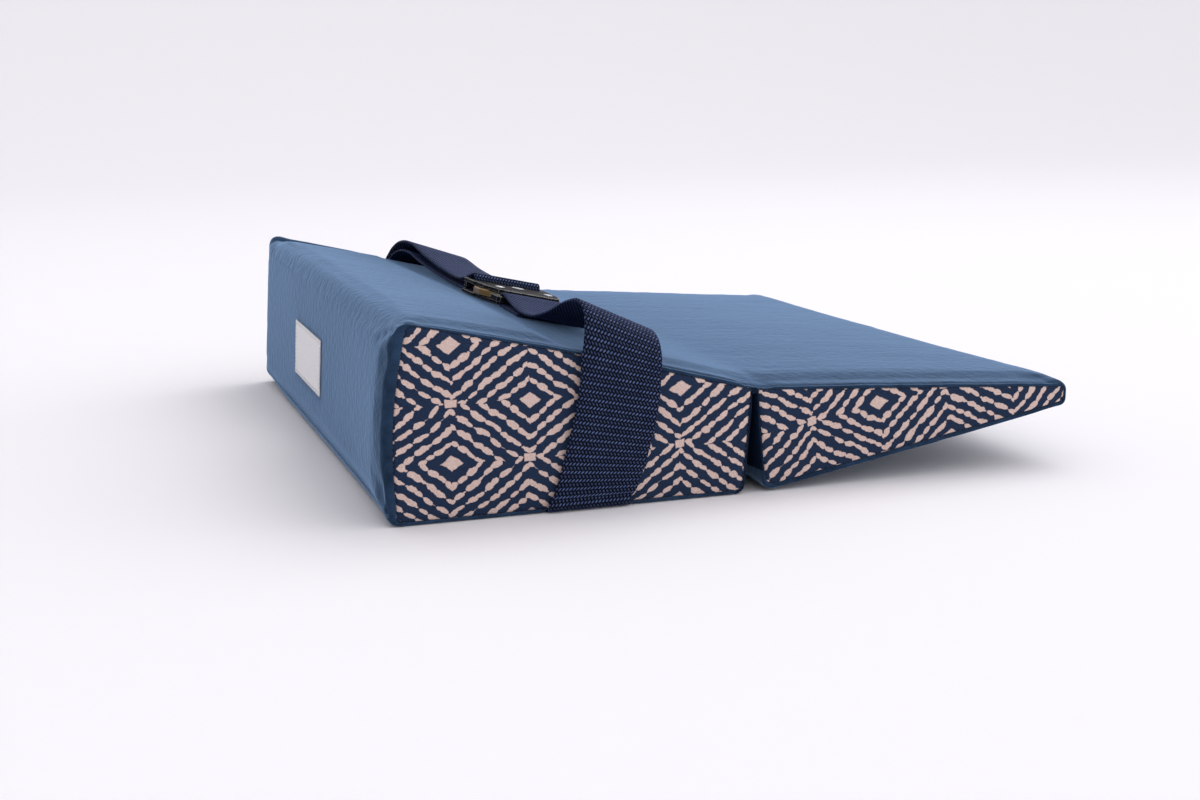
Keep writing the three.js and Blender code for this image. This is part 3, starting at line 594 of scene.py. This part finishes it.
def stations():
    """Places across the pillow, from the pocket behind the near panel to that behind the far one, each with
    the share by which the cloth is rolled in there."""
    angle = np.linspace(0, np.pi / 2, ROLL_STEPS + 1)
    power = 2 / ROLL_SQUARENESS
    half_body = WIDTH / 2 - ROLL_DEPTH
    body = np.linspace(0, half_body, int(half_body / BODY_STEP) + 1)[1:] + ROLL_DEPTH
    depth = np.concatenate([[POCKET_DEPTH], ROLL_DEPTH * (1 - np.cos(angle) ** power), body])
    tuck = np.concatenate([[1.0], 1 - np.sin(angle) ** power, np.zeros(len(body))])
    y = NEAR_Y + depth
    return np.concatenate([y, -y[-2::-1]]), np.concatenate([tuck, tuck[-2::-1]])


def cover_grid():
    """The cover before it is filled, as rings of points by station."""
    y, tuck = stations()
    far = np.clip((y - NEAR_Y) / WIDTH, 0, 1)
    down_front = np.sin(np.pi * np.clip(SHARE, 0, 1)) ** SHOULDER["flatness"] * (EDGES == "front")
    rings = []
    for place, share, rolled in zip(y, far, tuck):
        full = math.sin(math.pi * share) ** CROWN_FLATNESS if rolled == 0 else 0.0
        outline = side_view(share, rolled, full)
        shoulder = SHOULDER["drop"] * math.exp((NEAR_Y - place) / SHOULDER["reach"]) * (1 - rolled)
        outline[:, 0] += shoulder * down_front
        rings.append(laid_at(outline, place))
    return np.array(rings)


def swollen(grid):
    """How far the filling pushes the cloth out at each point of a grid: Blender's cloth under pressure, with
    the seams sewn down. The grid is in millimetres."""
    rings, count = grid.shape[:2]
    piece = mesh_piece("filling", to_row_frame(grid.reshape(-1, 3)), closed_faces(rings, count))
    sewn = piece.vertex_groups.new(name="sewn")
    ends = SWELL["sewn_rings"]
    held = [k * count + i for k in (*range(ends), *range(rings - ends, rings)) for i in range(count)]
    sewn.add(held, 1.0, "REPLACE")
    cloth = piece.modifiers.new("filling", "CLOTH")
    settings = cloth.settings
    settings.vertex_group_mass = "sewn"
    settings.quality = 5
    settings.tension_stiffness = settings.compression_stiffness = 25.0
    settings.bending_stiffness = 1.0
    settings.use_pressure = True
    settings.uniform_pressure_force = SWELL["pressure"]
    settings.effector_weights.gravity = 0.0
    cloth.collision_settings.use_collision = False
    for step in range(1, SWELL["frames"] + 1):
        bpy.context.scene.frame_set(step)
    shown = piece.evaluated_get(bpy.context.evaluated_depsgraph_get())
    after = np.zeros(rings * count * 3, np.float32)
    shown.data.vertices.foreach_get("co", after)
    bpy.context.scene.frame_set(1)
    bpy.data.objects.remove(piece)
    moved = after.reshape(rings, count, 3) / MM - PART_ZERO - grid
    length = np.linalg.norm(moved, axis=2, keepdims=True)
    return moved * np.minimum(1, SWELL["cap"] / np.maximum(length, 1e-6))


def refined(coarse, rings, count):
    """Moves of a coarse grid, spread evenly to a grid of more rings and points."""
    stations_at = np.linspace(0, len(coarse) - 1, rings)
    points_at = np.arange(count) * coarse.shape[1] / count
    looped = np.concatenate([coarse, coarse[:, :1]], axis=1)
    k, i = np.floor(stations_at).astype(int), np.floor(points_at).astype(int)
    k = np.minimum(k, len(coarse) - 2)
    s, t = (stations_at - k)[:, None, None], (points_at - i)[None, :, None]
    low = looped[k][:, i] * (1 - t) + looped[k][:, i + 1] * t
    high = looped[k + 1][:, i] * (1 - t) + looped[k + 1][:, i + 1] * t
    return low * (1 - s) + high * s


def grid_normals(grid):
    """Outward directions at the points of a closed grid."""
    round_it = np.roll(grid, -1, axis=1) - np.roll(grid, 1, axis=1)
    normal = np.cross(np.gradient(grid, axis=0), round_it)
    return normal / np.maximum(np.linalg.norm(normal, axis=2, keepdims=True), 1e-9)


def hand_of_cloth(grid):
    """How far sewing and handling push the cloth out or in at each point: the dip inside the rolled edges,
    puckers at the seams, creases under the front fold, shallow wrinkles, and the pinch at the fold's ends."""
    x, y = grid[..., 0], grid[:, :1, 1]
    from_end = WIDTH / 2 - np.abs(y)
    middle = grid[len(grid) // 2]
    run = np.cumsum(np.linalg.norm(np.roll(middle, -1, axis=0) - middle, axis=1))[None, :]
    on_top = np.where(FRONT_ROUND, -SHARE, 1.0 * (ON_TOPS & (SHARE >= 0)))

    def side(name):
        return np.where(y > 0, DIP[name][1], DIP[name][0])

    def waves(rows):
        return sum(height * drift(y / across, run / along, seed) for height, across, along, seed in rows)

    def folds(rows):
        return sum(
            height * np.clip(drift(y / across, run / along, seed) - start, 0, 1)
            for height, across, along, seed, start in rows
        )

    depth = side("depth") + side("corner") * bell((x - DIP["corner_x"]) / DIP["corner_reach"])
    wall = np.clip((from_end - DIP["starts"]) / side("wall"), 0, 1)
    dip = -depth * eased(wall) * bell(np.maximum(from_end - DIP["flat_to"], 0) / side("rise")) * on_top
    gathers = drift(run / PUCKER["length"], y / PUCKER["across"], PUCKER["seed"]) * PUCKER["height"]
    puckers = bell((from_end - PUCKER["from_end"]) / PUCKER["reach"]) * gathers
    below_fold = SHARE * np.where(SHARE < 0, CREASE["round"], CREASE["face"])
    noise = drift(y / CREASE["wide"], below_fold / CREASE["long"], CREASE["seed"])
    ticks = np.clip(noise + CREASE["bias"], 0, 1) * bell((below_fold - CREASE["below"]) / CREASE["reach"])
    inside = np.clip((from_end - CREASE["clear_of_end"]) / CREASE["fade"], 0, 1)
    creases = -CREASE["depth"] * ticks * inside * (EDGES == "front")
    loose = waves(LOOSE_WAVES) * np.where(EDGES == "front", FRONT_LOOSENESS, 1.0)
    wrinkles = loose + waves(SLACK_WAVES) + (folds(TOP_FOLDS) + waves(TOP_WAVES)) * on_top
    wrinkles = wrinkles * np.clip((from_end - ROLL_DEPTH) / WRINKLE_FADE, 0, 1)
    pinch = -FOLD_PINCH["depth"] * FOLD_ROUND * bell(from_end / FOLD_PINCH["reach"])
    rests = np.isin(EDGES, ["underside", "notch"])
    return np.where(rests, 0.0, dip + puckers + creases + wrinkles + pinch)


def pressed_by_strap(points):
    """Lowers the top of the thick wedge to just under the strap and the buckle."""
    x, y, z = points[..., 0], points[..., 1], points[..., 2]
    lift = (z - straight_top(x)) * math.cos(SLOPE)
    outwards = np.clip(np.abs(y) / (WIDTH / 2), 0, 1)
    end_x = np.where(y < 0, STRAP_BAND["near_x"], STRAP_BAND["far_x"])
    middle = STRAP_BAND["middle_x"] + (end_x - STRAP_BAND["middle_x"]) * outwards
    off = np.clip((np.abs(x - middle) - STRAP_BAND["half"]) / STRAP_BAND["fade"], 0, 1)
    over = np.maximum(lift - STRAP_BAND["lift"] - STRAP_BAND["edge_rise"] * off, 0.0)
    over = over * ((EDGES == "top") & (SHARE >= 0))
    points[..., 0] -= over * math.sin(SLOPE)
    points[..., 2] -= over * math.cos(SLOPE)
    return points


def groove_lift(points):
    """Raises the underside where the strap is pressed into it, so that the pillow rests flat beside it."""
    off = np.abs(points[..., 0] - GROOVE["x"]) - GROOVE["half"]
    lift = GROOVE["depth"] * np.clip(1 - off / GROOVE["wall"], 0, 1)
    points[..., 2] = np.maximum(points[..., 2], lift)
    return points


def pillow_cover():
    """The filled cover in millimetres, by station and point."""
    grid = cover_grid()
    rings, count = grid.shape[:2]
    every_ring, every_point = SWELL["every"]
    grid = grid + refined(swollen(grid[::every_ring, ::every_point]), rings, count)
    grid = grid + grid_normals(grid) * hand_of_cloth(grid)[..., None]
    return groove_lift(pressed_by_strap(settled(grid)))


cover_points = pillow_cover()
rings, count = cover_points.shape[:2]
cover = mesh_piece("blue_cover", to_row_frame(cover_points.reshape(-1, 3)), closed_faces(rings, count))
run_round = np.broadcast_to(run_along(cover_points[rings // 2]), (rings, count))
lay_map(cover, "cloth", np.stack([cover_points[..., 1], run_round], axis=-1).reshape(-1, 2) * MM)
cover.data.materials.append(microfibre)
# Painted shade: the faces inside the fold take the second, darker navy cloth, which stands in for the shade
# in the narrow gap between the wedges.
cover.data.materials.append(gap_painted_shade)
in_fold = np.isin(EDGES, ["inner", "notch", "thin_inner"])
face_finish = np.zeros(len(cover.data.polygons), np.int32)
face_finish[: (rings - 1) * count] = np.tile(in_fold & np.roll(in_fold, -1), rings - 1)
cover.data.polygons.foreach_set("material_index", face_finish)
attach(cover, "pillow")
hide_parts("thick_wedge", "thin_wedge", "fold_cloth")


# The printed side panels, sewn into the rolled edges

PANEL_COLUMNS = "edge x z radius bow far_bow round_steps edge_steps"
THICK_PANEL = table(
    PANEL_COLUMNS,
    ("underside", 2.8, 2.4, 5.0, 0.0, 0.0, 8, 130),
    ("inner", 213.2, 2.5, 5.0, 0.6, 0.6, 8, 40),
    ("top", 218.6, 63.8, 2.0, 3.2, 2.0, 4, 130),
    ("front", 11.0, 114.2, 3.0, 9.4, 1.2, 8, 66),
)
THIN_PANEL = table(
    PANEL_COLUMNS,
    ("underside", 228.6, 3.9, 6.0, 1.0, 1.0, 8, 130),
    ("tip", 436.2, 41.2, 3.6, 0.3, 0.3, 6, 8),
    ("top", 436.2, 50.4, 4.0, 0.6, 0.6, 6, 130),
    ("inner", 222.8, 63.2, 2.0, 0.6, 0.6, 4, 40),
)
# The canvas is sunk at its seam and full in its middle. A reach is how far in from the seam each dies away.
PANEL = {
    "seam_depth": 1.2, "seam_reach": 1.1, "fullness": 1.0, "full_reach": 9.0, "pucker_reach": 5.0,
    "pucker_seed": 23, "thickness": 1.0, "scallop": 0.16, "thread_proud": 0.55,
}
# Rings of a panel: first by how far they are in from the seam, then by their share of the way from the last
# of those to the middle, and how full the panel is where that way starts.
SEAM_RINGS = (0.0, 0.7, 1.6, 3.0, 5.0, 8.0, 12.0)
MIDDLE_RINGS = (0.25, 0.45, 0.62, 0.78, 0.9)
RIM_FULL = 0.74
PANEL_WAVE = {"height": 0.25, "long": 38.0, "high": 30.0, "seed": 29}
STITCH = {"length": 2.2, "pitch": 3.2, "radius": 0.32, "sides": 6}
# Places along a stitch with its girth there, and a direction that no stitch follows.
STITCH_FORM = ((0.0, 0.35), (0.18, 1.0), (0.82, 1.0), (1.0, 0.35))
ASKEW = (0.3, 0.9, 0.31)


def panel_rim(rows, far):
    """The outline of a panel at its seam, on the near or the far side."""
    radius, bow = columns(rows, "radius", "far_bow" if far else "bow")
    return rounded_outline(rows, ("x", "z"), radius, bow * SEAM_BOW, PLAIN_SINE)


def panel_points(rows, far):
    """A panel as rings from its seam inwards, in millimetres, and its middle, laid on the near side."""
    rim = panel_rim(rows, far)
    centre = rim.mean(axis=0)
    inwards = (centre - rim) / np.linalg.norm(centre - rim, axis=1, keepdims=True)
    run = run_along(rim)
    scallop = PANEL["scallop"] * np.sin(2 * np.pi * run / STITCH["pitch"])
    pucker = drift(run / PUCKER["length"], 0.0, PANEL["pucker_seed"]) * PUCKER["height"]
    rings = []
    for inward in SEAM_RINGS:
        inset = inward + scallop * (inward == 0)
        flat = rim + inwards * inset[:, None]
        sunk = PANEL["seam_depth"] * np.exp(-inward / PANEL["seam_reach"])
        full = PANEL["fullness"] * (1 - np.exp(-inward / PANEL["full_reach"]))
        lift = full - sunk + pucker * np.exp(-inward / PANEL["pucker_reach"]) * (inward > 0)
        rings.append(laid_at(flat, NEAR_Y - lift))
    last = flat
    for share in MIDDLE_RINGS:
        flat = last + (centre - last) * share
        noise = drift(flat[:, 0] / PANEL_WAVE["long"], flat[:, 1] / PANEL_WAVE["high"], PANEL_WAVE["seed"])
        full = PANEL["fullness"] * (RIM_FULL + (1 - RIM_FULL) * share)
        rings.append(laid_at(flat, NEAR_Y - full - PANEL_WAVE["height"] * noise))
    return np.array(rings), np.array([centre[0], NEAR_Y - PANEL["fullness"], centre[1]])


def panel_piece(name, rows, far, material, node):
    """One printed panel, on the near or the far side."""
    rings, middle = panel_points(rows, far)
    count = rings.shape[1]
    points = np.concatenate([rings.reshape(-1, 3), middle[None]])
    faces = [face[::-1] for face in grid_faces(len(rings), count)]
    last, centre = (len(rings) - 1) * count, len(points) - 1
    faces += [[last + i, last + (i + 1) % count, centre] for i in range(count)]
    if far:
        points[:, 1] *= -1
        faces = [face[::-1] for face in faces]
    piece = mesh_piece(name, to_row_frame(settled(points)), faces)
    thick = piece.modifiers.new("canvas", "SOLIDIFY")
    thick.thickness, thick.offset = PANEL["thickness"] * MM, -1.0
    piece.data.materials.append(material)
    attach(piece, "pillow")
    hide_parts(node)


def strand(start, end, radius, sides):
    """The points and faces of one short stitch between two points."""
    along = (end - start) / np.linalg.norm(end - start)
    other = np.cross(along, ASKEW)
    other /= np.linalg.norm(other)
    third = np.cross(along, other)
    angle = np.linspace(0, 2 * np.pi, sides, endpoint=False)
    circle = np.cos(angle)[:, None] * other + np.sin(angle)[:, None] * third
    points = [start + (end - start) * share + circle * radius * girth for share, girth in STITCH_FORM]
    return np.concatenate(points), closed_faces(len(points), sides)


def stitches(name, line, material, length, pitch, radius, sides):
    """A row of stitches along a closed line of points in millimetres."""
    line = np.concatenate([line, line[:1]])
    run = run_along(line)

    def on_line(place):
        return np.array([np.interp(place, run, line[:, k]) for k in range(3)])

    points, faces, used = [], [], 0
    for place in np.arange(0, run[-1] - pitch, pitch):
        made, quads = strand(on_line(place), on_line(place + length), radius, sides)
        points.append(made)
        faces += [[used + i for i in quad] for quad in quads]
        used += len(made)
    piece = mesh_piece(name, to_row_frame(np.concatenate(points)), faces)
    piece.data.materials.append(material)
    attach(piece, "pillow")
    return piece


for wedge, rows, material in (("thick", THICK_PANEL, thick_print), ("thin", THIN_PANEL, thin_print)):
    for side in ("near", "far"):
        node = f"{wedge}_side_{side}"
        panel_piece(f"{wedge}_print_{side}", rows, side == "far", material, node)
        depth = NEAR_Y + PANEL["seam_depth"] - PANEL["thread_proud"]
        line = laid_at(panel_rim(rows, side == "far"), depth if side == "near" else -depth)
        thread = stitches(f"{wedge}_seam_{side}", settled(line), navy_thread, **STITCH)


# The strap

WEBBING = {"width": 50.0, "thickness": 1.8}
BUCKLE = {"x": 142.0, "yaw": 2.0, "lift": 0.4}
# The top crowns between the front and the fold, and the buckle lies on that.
TOP_CROWN = {"height": 2.5, "front_x": 15.0, "fold_x": 217.5}
# The webbing's turns round the buckle's bars: v along the buckle, n above its seat.
BAR = {"v": 28.0, "n": 7.9, "radius": 5.0, "rise": 6.3}
NEAR_LOOP = {"v": -41.2, "n": 5.1, "radius": 3.9, "rise": 3.9}
LOOP_STEPS = 9
UNDERSIDE = {"x": 116.0, "z": 1.15, "bend": 5.5, "off": 3.6}
# Columns: y from the near side, x of the middle of the webbing, lift above the straight top, lean, turn.
FAR_TAIL = (
    (476.8, 127.5, -12, 0, 0), (476.4, 127.8, -4, 1, 1), (472, 128.3, 3.2, 3, 4), (460, 129.2, 8.6, 5, 7),
    (438, 130.8, 11.2, 6, 9), (395, 133.5, 7.6, 5, 6), (340, 136.8, 5.2, 2, 4), (296, 139.4, 4.4, 0, 3),
)
FAR_ARCH = (
    (294, 139.4, 10, 0, 3), (338, 136.8, 10.4, 2, 4), (390, 133.7, 14, 5, 6), (434, 131, 18.6, 6, 9),
    (462, 129, 15.4, 5, 7), (477, 128, 7.4, 2, 3), (480.7, 127, -4, 0, 0),
)
NEAR_ARCH = (
    (-5.4, 135.5, -4, 2, 0), (-4, 134.5, 8.5, 7, 0), (2, 133.5, 19, 11, 0), (14, 133, 24, 12, 0),
    (36, 133.5, 21.4, 10, -2), (70, 135, 12.4, 6, -3), (104, 137, 7.2, 2, -3), (140, 139.5, 6.7, 0, -1),
    (172, 141.8, 8.9, 0, 3),
)
NEAR_TAIL = ((176, 142, 3.9, 0, 3), (140, 139.5, 3.7, 0, -1))
# Columns: how far the webbing stands off the side, x and z of its middle, lean.
SIDE = ((5.6, 133.5, 68, 12.4), (4.6, 129.5, 47, 11), (3.6, 123.5, 24, 6), (3.6, 118.5, 10, 1))
STRAP_STEPS = 10
# The webbing's section, in shares of its half-width and half-thickness: flat up to its rounded selvedge.
FLAT_SHARE, FLAT_STEPS, SELVEDGE = 0.985, 9, ((0.998, -0.55), (1.0, 0.0), (0.998, 0.55))


def over_top(x, y, lift):
    """A point at lift above the straight top face of the thick wedge."""
    return np.array([x, y, straight_top(x)]) + lift * np.array([math.sin(SLOPE), 0.0, math.cos(SLOPE)])


def leaning(lean, turn=0.0):
    """The direction across the webbing where it leans and turns by these angles."""
    lean, turn = math.radians(lean), math.radians(turn)
    flat = math.cos(lean)
    return np.array([math.cos(turn) * flat, math.sin(turn) * flat, -math.sin(lean)])


def strap_stations():
    """The middle of the webbing and the direction across it, from the far tail round to the near tail."""
    yaw = math.radians(BUCKLE["yaw"])
    across = np.array([math.cos(yaw) * math.cos(SLOPE), math.sin(yaw), -math.cos(yaw) * math.sin(SLOPE)])
    away = np.array([-math.sin(yaw) * math.cos(SLOPE), math.cos(yaw), math.sin(yaw) * math.sin(SLOPE)])
    upward = np.array([math.sin(SLOPE), 0.0, math.cos(SLOPE)])
    from_fold = (TOP_CROWN["fold_x"] - BUCKLE["x"]) / (TOP_CROWN["fold_x"] - TOP_CROWN["front_x"])
    crown = TOP_CROWN["height"] * math.sin(math.pi * from_fold)
    seat = over_top(BUCKLE["x"], 0.0, crown + BUCKLE["lift"])

    def over(rows):
        slope = math.degrees(SLOPE)
        return [
            (over_top(x, NEAR_Y + y, lift), leaning(slope + lean, turn)) for y, x, lift, lean, turn in rows
        ]

    def round_bar(bar, facing, start, end):
        return [
            (seat + away * (bar["v"] + facing * bar["radius"] * math.cos(a))
             + upward * (bar["n"] + bar["rise"] * math.sin(a)), across)
            for a in np.radians(np.linspace(start, end, LOOP_STEPS))
        ]

    def down_side(side):
        return [(np.array([x, side * (WIDTH / 2 + off), z]), leaning(lean)) for off, x, z, lean in SIDE]

    bend_y = WIDTH / 2 + UNDERSIDE["off"] - UNDERSIDE["bend"]

    def under(y, rise):
        return np.array([UNDERSIDE["x"], y, UNDERSIDE["z"] + rise]), leaning(0)

    def bend(side):
        return [
            under(side * (bend_y + UNDERSIDE["bend"] * math.cos(a)), UNDERSIDE["bend"] * (1 - math.sin(a)))
            for a in np.radians((0, 30, 60, 90))
        ]

    return [
        *over(FAR_TAIL),
        *round_bar(BAR, -1, -90, 90),
        *over(FAR_ARCH),
        *down_side(1),
        *bend(1),
        *[under(share * bend_y, 0) for share in (0.95, 0.5, 0.0, -0.5, -0.95)],
        *bend(-1)[::-1],
        *down_side(-1)[::-1],
        *over(NEAR_ARCH),
        *round_bar(NEAR_LOOP, 1, 90, -90),
        *over(NEAR_TAIL),
    ]


def smooth_line(points, centripetal):
    """A Catmull-Rom line through points, with STRAP_STEPS between each two."""
    points = np.asarray(points)
    ends = np.concatenate([[2 * points[0] - points[1]], points, [2 * points[-1] - points[-2]]])
    made = []
    w = np.linspace(0, 1, STRAP_STEPS, endpoint=False)[:, None]
    for p0, p1, p2, p3 in zip(ends, ends[1:], ends[2:], ends[3:]):
        if centripetal:
            d0, d1, d2 = (np.linalg.norm(b - a) ** 0.5 for a, b in ((p0, p1), (p1, p2), (p2, p3)))
            d0, d2 = max(d0, 1e-3), max(d2, 1e-3)
            m1 = ((p1 - p0) / d0 - (p2 - p0) / (d0 + d1) + (p2 - p1) / d1) * d1
            m2 = ((p2 - p1) / d1 - (p3 - p1) / (d1 + d2) + (p3 - p2) / d2) * d1
        else:
            m1, m2 = (p2 - p0) / 2, (p3 - p1) / 2
        made.append(p1 + m1 * w + (3 * (p2 - p1) - 2 * m1 - m2) * w**2 + (2 * (p1 - p2) + m1 + m2) * w**3)
    return np.concatenate([*made, points[-1:]])


def strap_section():
    """Half-width and half-thickness shares round the webbing's section, with rounded selvedges."""
    flat = np.linspace(-FLAT_SHARE, FLAT_SHARE, FLAT_STEPS)
    under = np.stack([flat, np.full(FLAT_STEPS, -1.0)], axis=1)
    over = np.stack([flat[::-1], np.full(FLAT_STEPS, 1.0)], axis=1)
    right = np.array(SELVEDGE)
    return np.concatenate([under, right, over, -right])


def strap_piece():
    """The webbing as one length, with its section's own coordinates for the weave."""
    middles, directions = zip(*strap_stations())
    path = smooth_line(middles, centripetal=True)
    across = smooth_line(directions, centripetal=False)
    across /= np.linalg.norm(across, axis=1)[:, None]
    upward = np.cross(across, np.gradient(path, axis=0))
    upward /= np.linalg.norm(upward, axis=1)[:, None]
    run = run_along(path)
    sideways, thick = strap_section().T * [[WEBBING["width"] / 2], [WEBBING["thickness"] / 2]]
    points = path[:, None] + sideways[:, None] * across[:, None] + thick[:, None] * upward[:, None]
    rings, count = points.shape[:2]
    piece = mesh_piece("webbing_strap", to_row_frame(points.reshape(-1, 3)), closed_faces(rings, count))
    lie = np.stack(np.broadcast_arrays(sideways[None, :], run[:, None]), axis=-1).reshape(-1, 2)
    lay_map(piece, "webbing", lie * MM)
    piece.data.materials.append(webbing)
    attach(piece, "pillow")
    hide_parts("strap")


strap_piece()


# The label

LABEL = {"width": 102.0, "height": 38.0, "y": 25.5, "z": 54.5, "stand": 0.35, "thickness": 0.6}
LABEL_GRID = (40, 16)
# The label's edge curls up a little, more in some places than in others.
CURL = {"height": 0.25, "narrowness": 14.0, "least": 0.6, "varies": 0.4, "bumps": (9.0, 7.0), "seed": 31}
LABEL_SEAM = {"inset": 2.2, "side_steps": 24, "proud": 0.12}
LABEL_STITCH = {"length": 2.0, "pitch": 3.0, "radius": 0.22, "sides": 6}
# Well in front of the front face.
CLEAR_X = -60.0


def on_front(tree, y, z, stand):
    """The point off the cover's front face by stand, at y and z from the label's middle, in millimetres."""
    start = Vector(to_row_frame((CLEAR_X, LABEL["y"] + y, LABEL["z"] + z)))
    hit, normal, _, _ = tree.ray_cast(start, Vector((1, 0, 0)))
    return np.array(hit + normal * stand * MM) / MM - PART_ZERO


def label_piece():
    """The blank label, laid on the front face and sewn round its edge."""
    bpy.context.view_layer.update()
    tree = BVHTree.FromObject(cover, bpy.context.evaluated_depsgraph_get())
    columns_made, rows_made = LABEL_GRID
    bumps_u, bumps_v = CURL["bumps"]
    points = []
    for v in np.linspace(-0.5, 0.5, rows_made + 1):
        for u in np.linspace(-0.5, 0.5, columns_made + 1):
            edge = max(abs(u) * 2, abs(v) * 2)
            curl = CURL["height"] * max(0.0, 1 - (1 - edge) * CURL["narrowness"])
            uneven = CURL["least"] + CURL["varies"] * float(drift(u * bumps_u, v * bumps_v, CURL["seed"]))
            stand = LABEL["stand"] + curl * uneven
            points.append(on_front(tree, u * LABEL["width"], v * LABEL["height"], stand))
    wide = columns_made + 1
    faces = [
        [k * wide + i, (k + 1) * wide + i, (k + 1) * wide + i + 1, k * wide + i + 1]
        for k in range(rows_made) for i in range(columns_made)
    ]
    piece = mesh_piece("blank_label", to_row_frame(points), faces)
    thick = piece.modifiers.new("tape", "SOLIDIFY")
    thick.thickness, thick.offset = LABEL["thickness"] * MM, 1.0
    piece.data.materials.append(label_tape)
    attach(piece, "pillow")
    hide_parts("label")
    half_y, half_z = LABEL["width"] / 2 - LABEL_SEAM["inset"], LABEL["height"] / 2 - LABEL_SEAM["inset"]
    loop = [(-half_y, -half_z), (half_y, -half_z), (half_y, half_z), (-half_y, half_z), (-half_y, -half_z)]
    stand = LABEL["stand"] + LABEL["thickness"] + LABEL_SEAM["proud"]
    line = [
        on_front(tree, y0 + (y1 - y0) * share, z0 + (z1 - z0) * share, stand)
        for (y0, z0), (y1, z1) in zip(loop, loop[1:])
        for share in np.linspace(0, 1, LABEL_SEAM["side_steps"], endpoint=False)
    ]
    thread = stitches("label_stitching", np.array(line), white_thread, **LABEL_STITCH)


label_piece()


# The buckle keeps its CAD pieces, in better finishes

for finish, names in (
    (gunmetal, ("base_plate", "top_plate", "far_bar", "tongue")),
    (brass, ("clip_left", "clip_right")),
    (polished_steel, ("rivet_left", "rivet_right", "rivet_centre")),
):
    for name in names:
        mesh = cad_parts["buckle_" + name].data
        mesh.materials.clear()
        mesh.materials.append(finish)


# Floor, light and camera, in metres


def sweep():
    """A floor that curves up far behind the object."""
    front, depth, radius, height, half = -7.0, 2.4, 2.2, 5.0, 9.0
    angle = np.linspace(0, np.pi / 2, 32)
    curve = zip(depth + radius * np.sin(angle), radius * (1 - np.cos(angle)))
    profile = [(front, 0.0), *curve, (depth + radius, height)]
    points = [(x, y, z) for y, z in profile for x in (-half, half)]
    faces = [[2 * i, 2 * i + 1, 2 * i + 3, 2 * i + 2] for i in range(len(profile) - 1)]
    piece = mesh_piece("floor", points, faces)
    piece.data.materials.append(studio_paper())


def studio_world():
    """White walls and ceiling, brighter behind and to the right than by the camera and to the left."""
    level, brighter = 1.09, (0.68, 0.26, 0.0)
    world = bpy.data.worlds.new("studio")
    world.use_nodes = True
    tree = world.node_tree
    tree.nodes.clear()
    way = put(tree, "TexCoord").node.outputs["Generated"]
    lit = put(tree, "VectorMath", {0: way, 1: brighter}, operation="DOT_PRODUCT")
    strength = put(tree, "Math", {0: lit, 1: level}, operation="ADD")
    light = put(tree, "Background", {"Color": linear("#f6f5f8"), "Strength": strength})
    put(tree, "OutputWorld", {"Surface": light})
    bpy.context.scene.world = world


def area_light(name, place, target, size, power):
    """A round soft light that points at a target."""
    lamp = bpy.data.lights.new(name, "AREA")
    lamp.shape, lamp.size, lamp.energy = "DISK", size, power
    light = bpy.data.objects.new(name, lamp)
    bpy.context.scene.collection.objects.link(light)
    light.location = place
    light.rotation_euler = (Vector(target) - Vector(place)).to_track_quat("-Z", "Y").to_euler()


def camera():
    """The photograph's view: a 51 mm lens on a 36 mm frame, about a metre away and a little above."""
    data = bpy.data.cameras.new("camera")
    data.lens, data.sensor_width = 51.0, 36.0
    view = bpy.data.objects.new("camera", data)
    bpy.context.scene.collection.objects.link(view)
    view.location = (-0.4102, -1.1425, 0.2572)
    view.rotation_euler = (math.radians(90 - 11.39), math.radians(0.40), math.radians(-19.26))
    bpy.context.scene.camera = view


sweep()
studio_world()
area_light("key", place=(1.0, 0.7, 2.4), target=(0.0, 0.0, 0.05), size=1.8, power=11.0)
camera()
bpy.context.scene.view_settings.view_transform = "Standard"
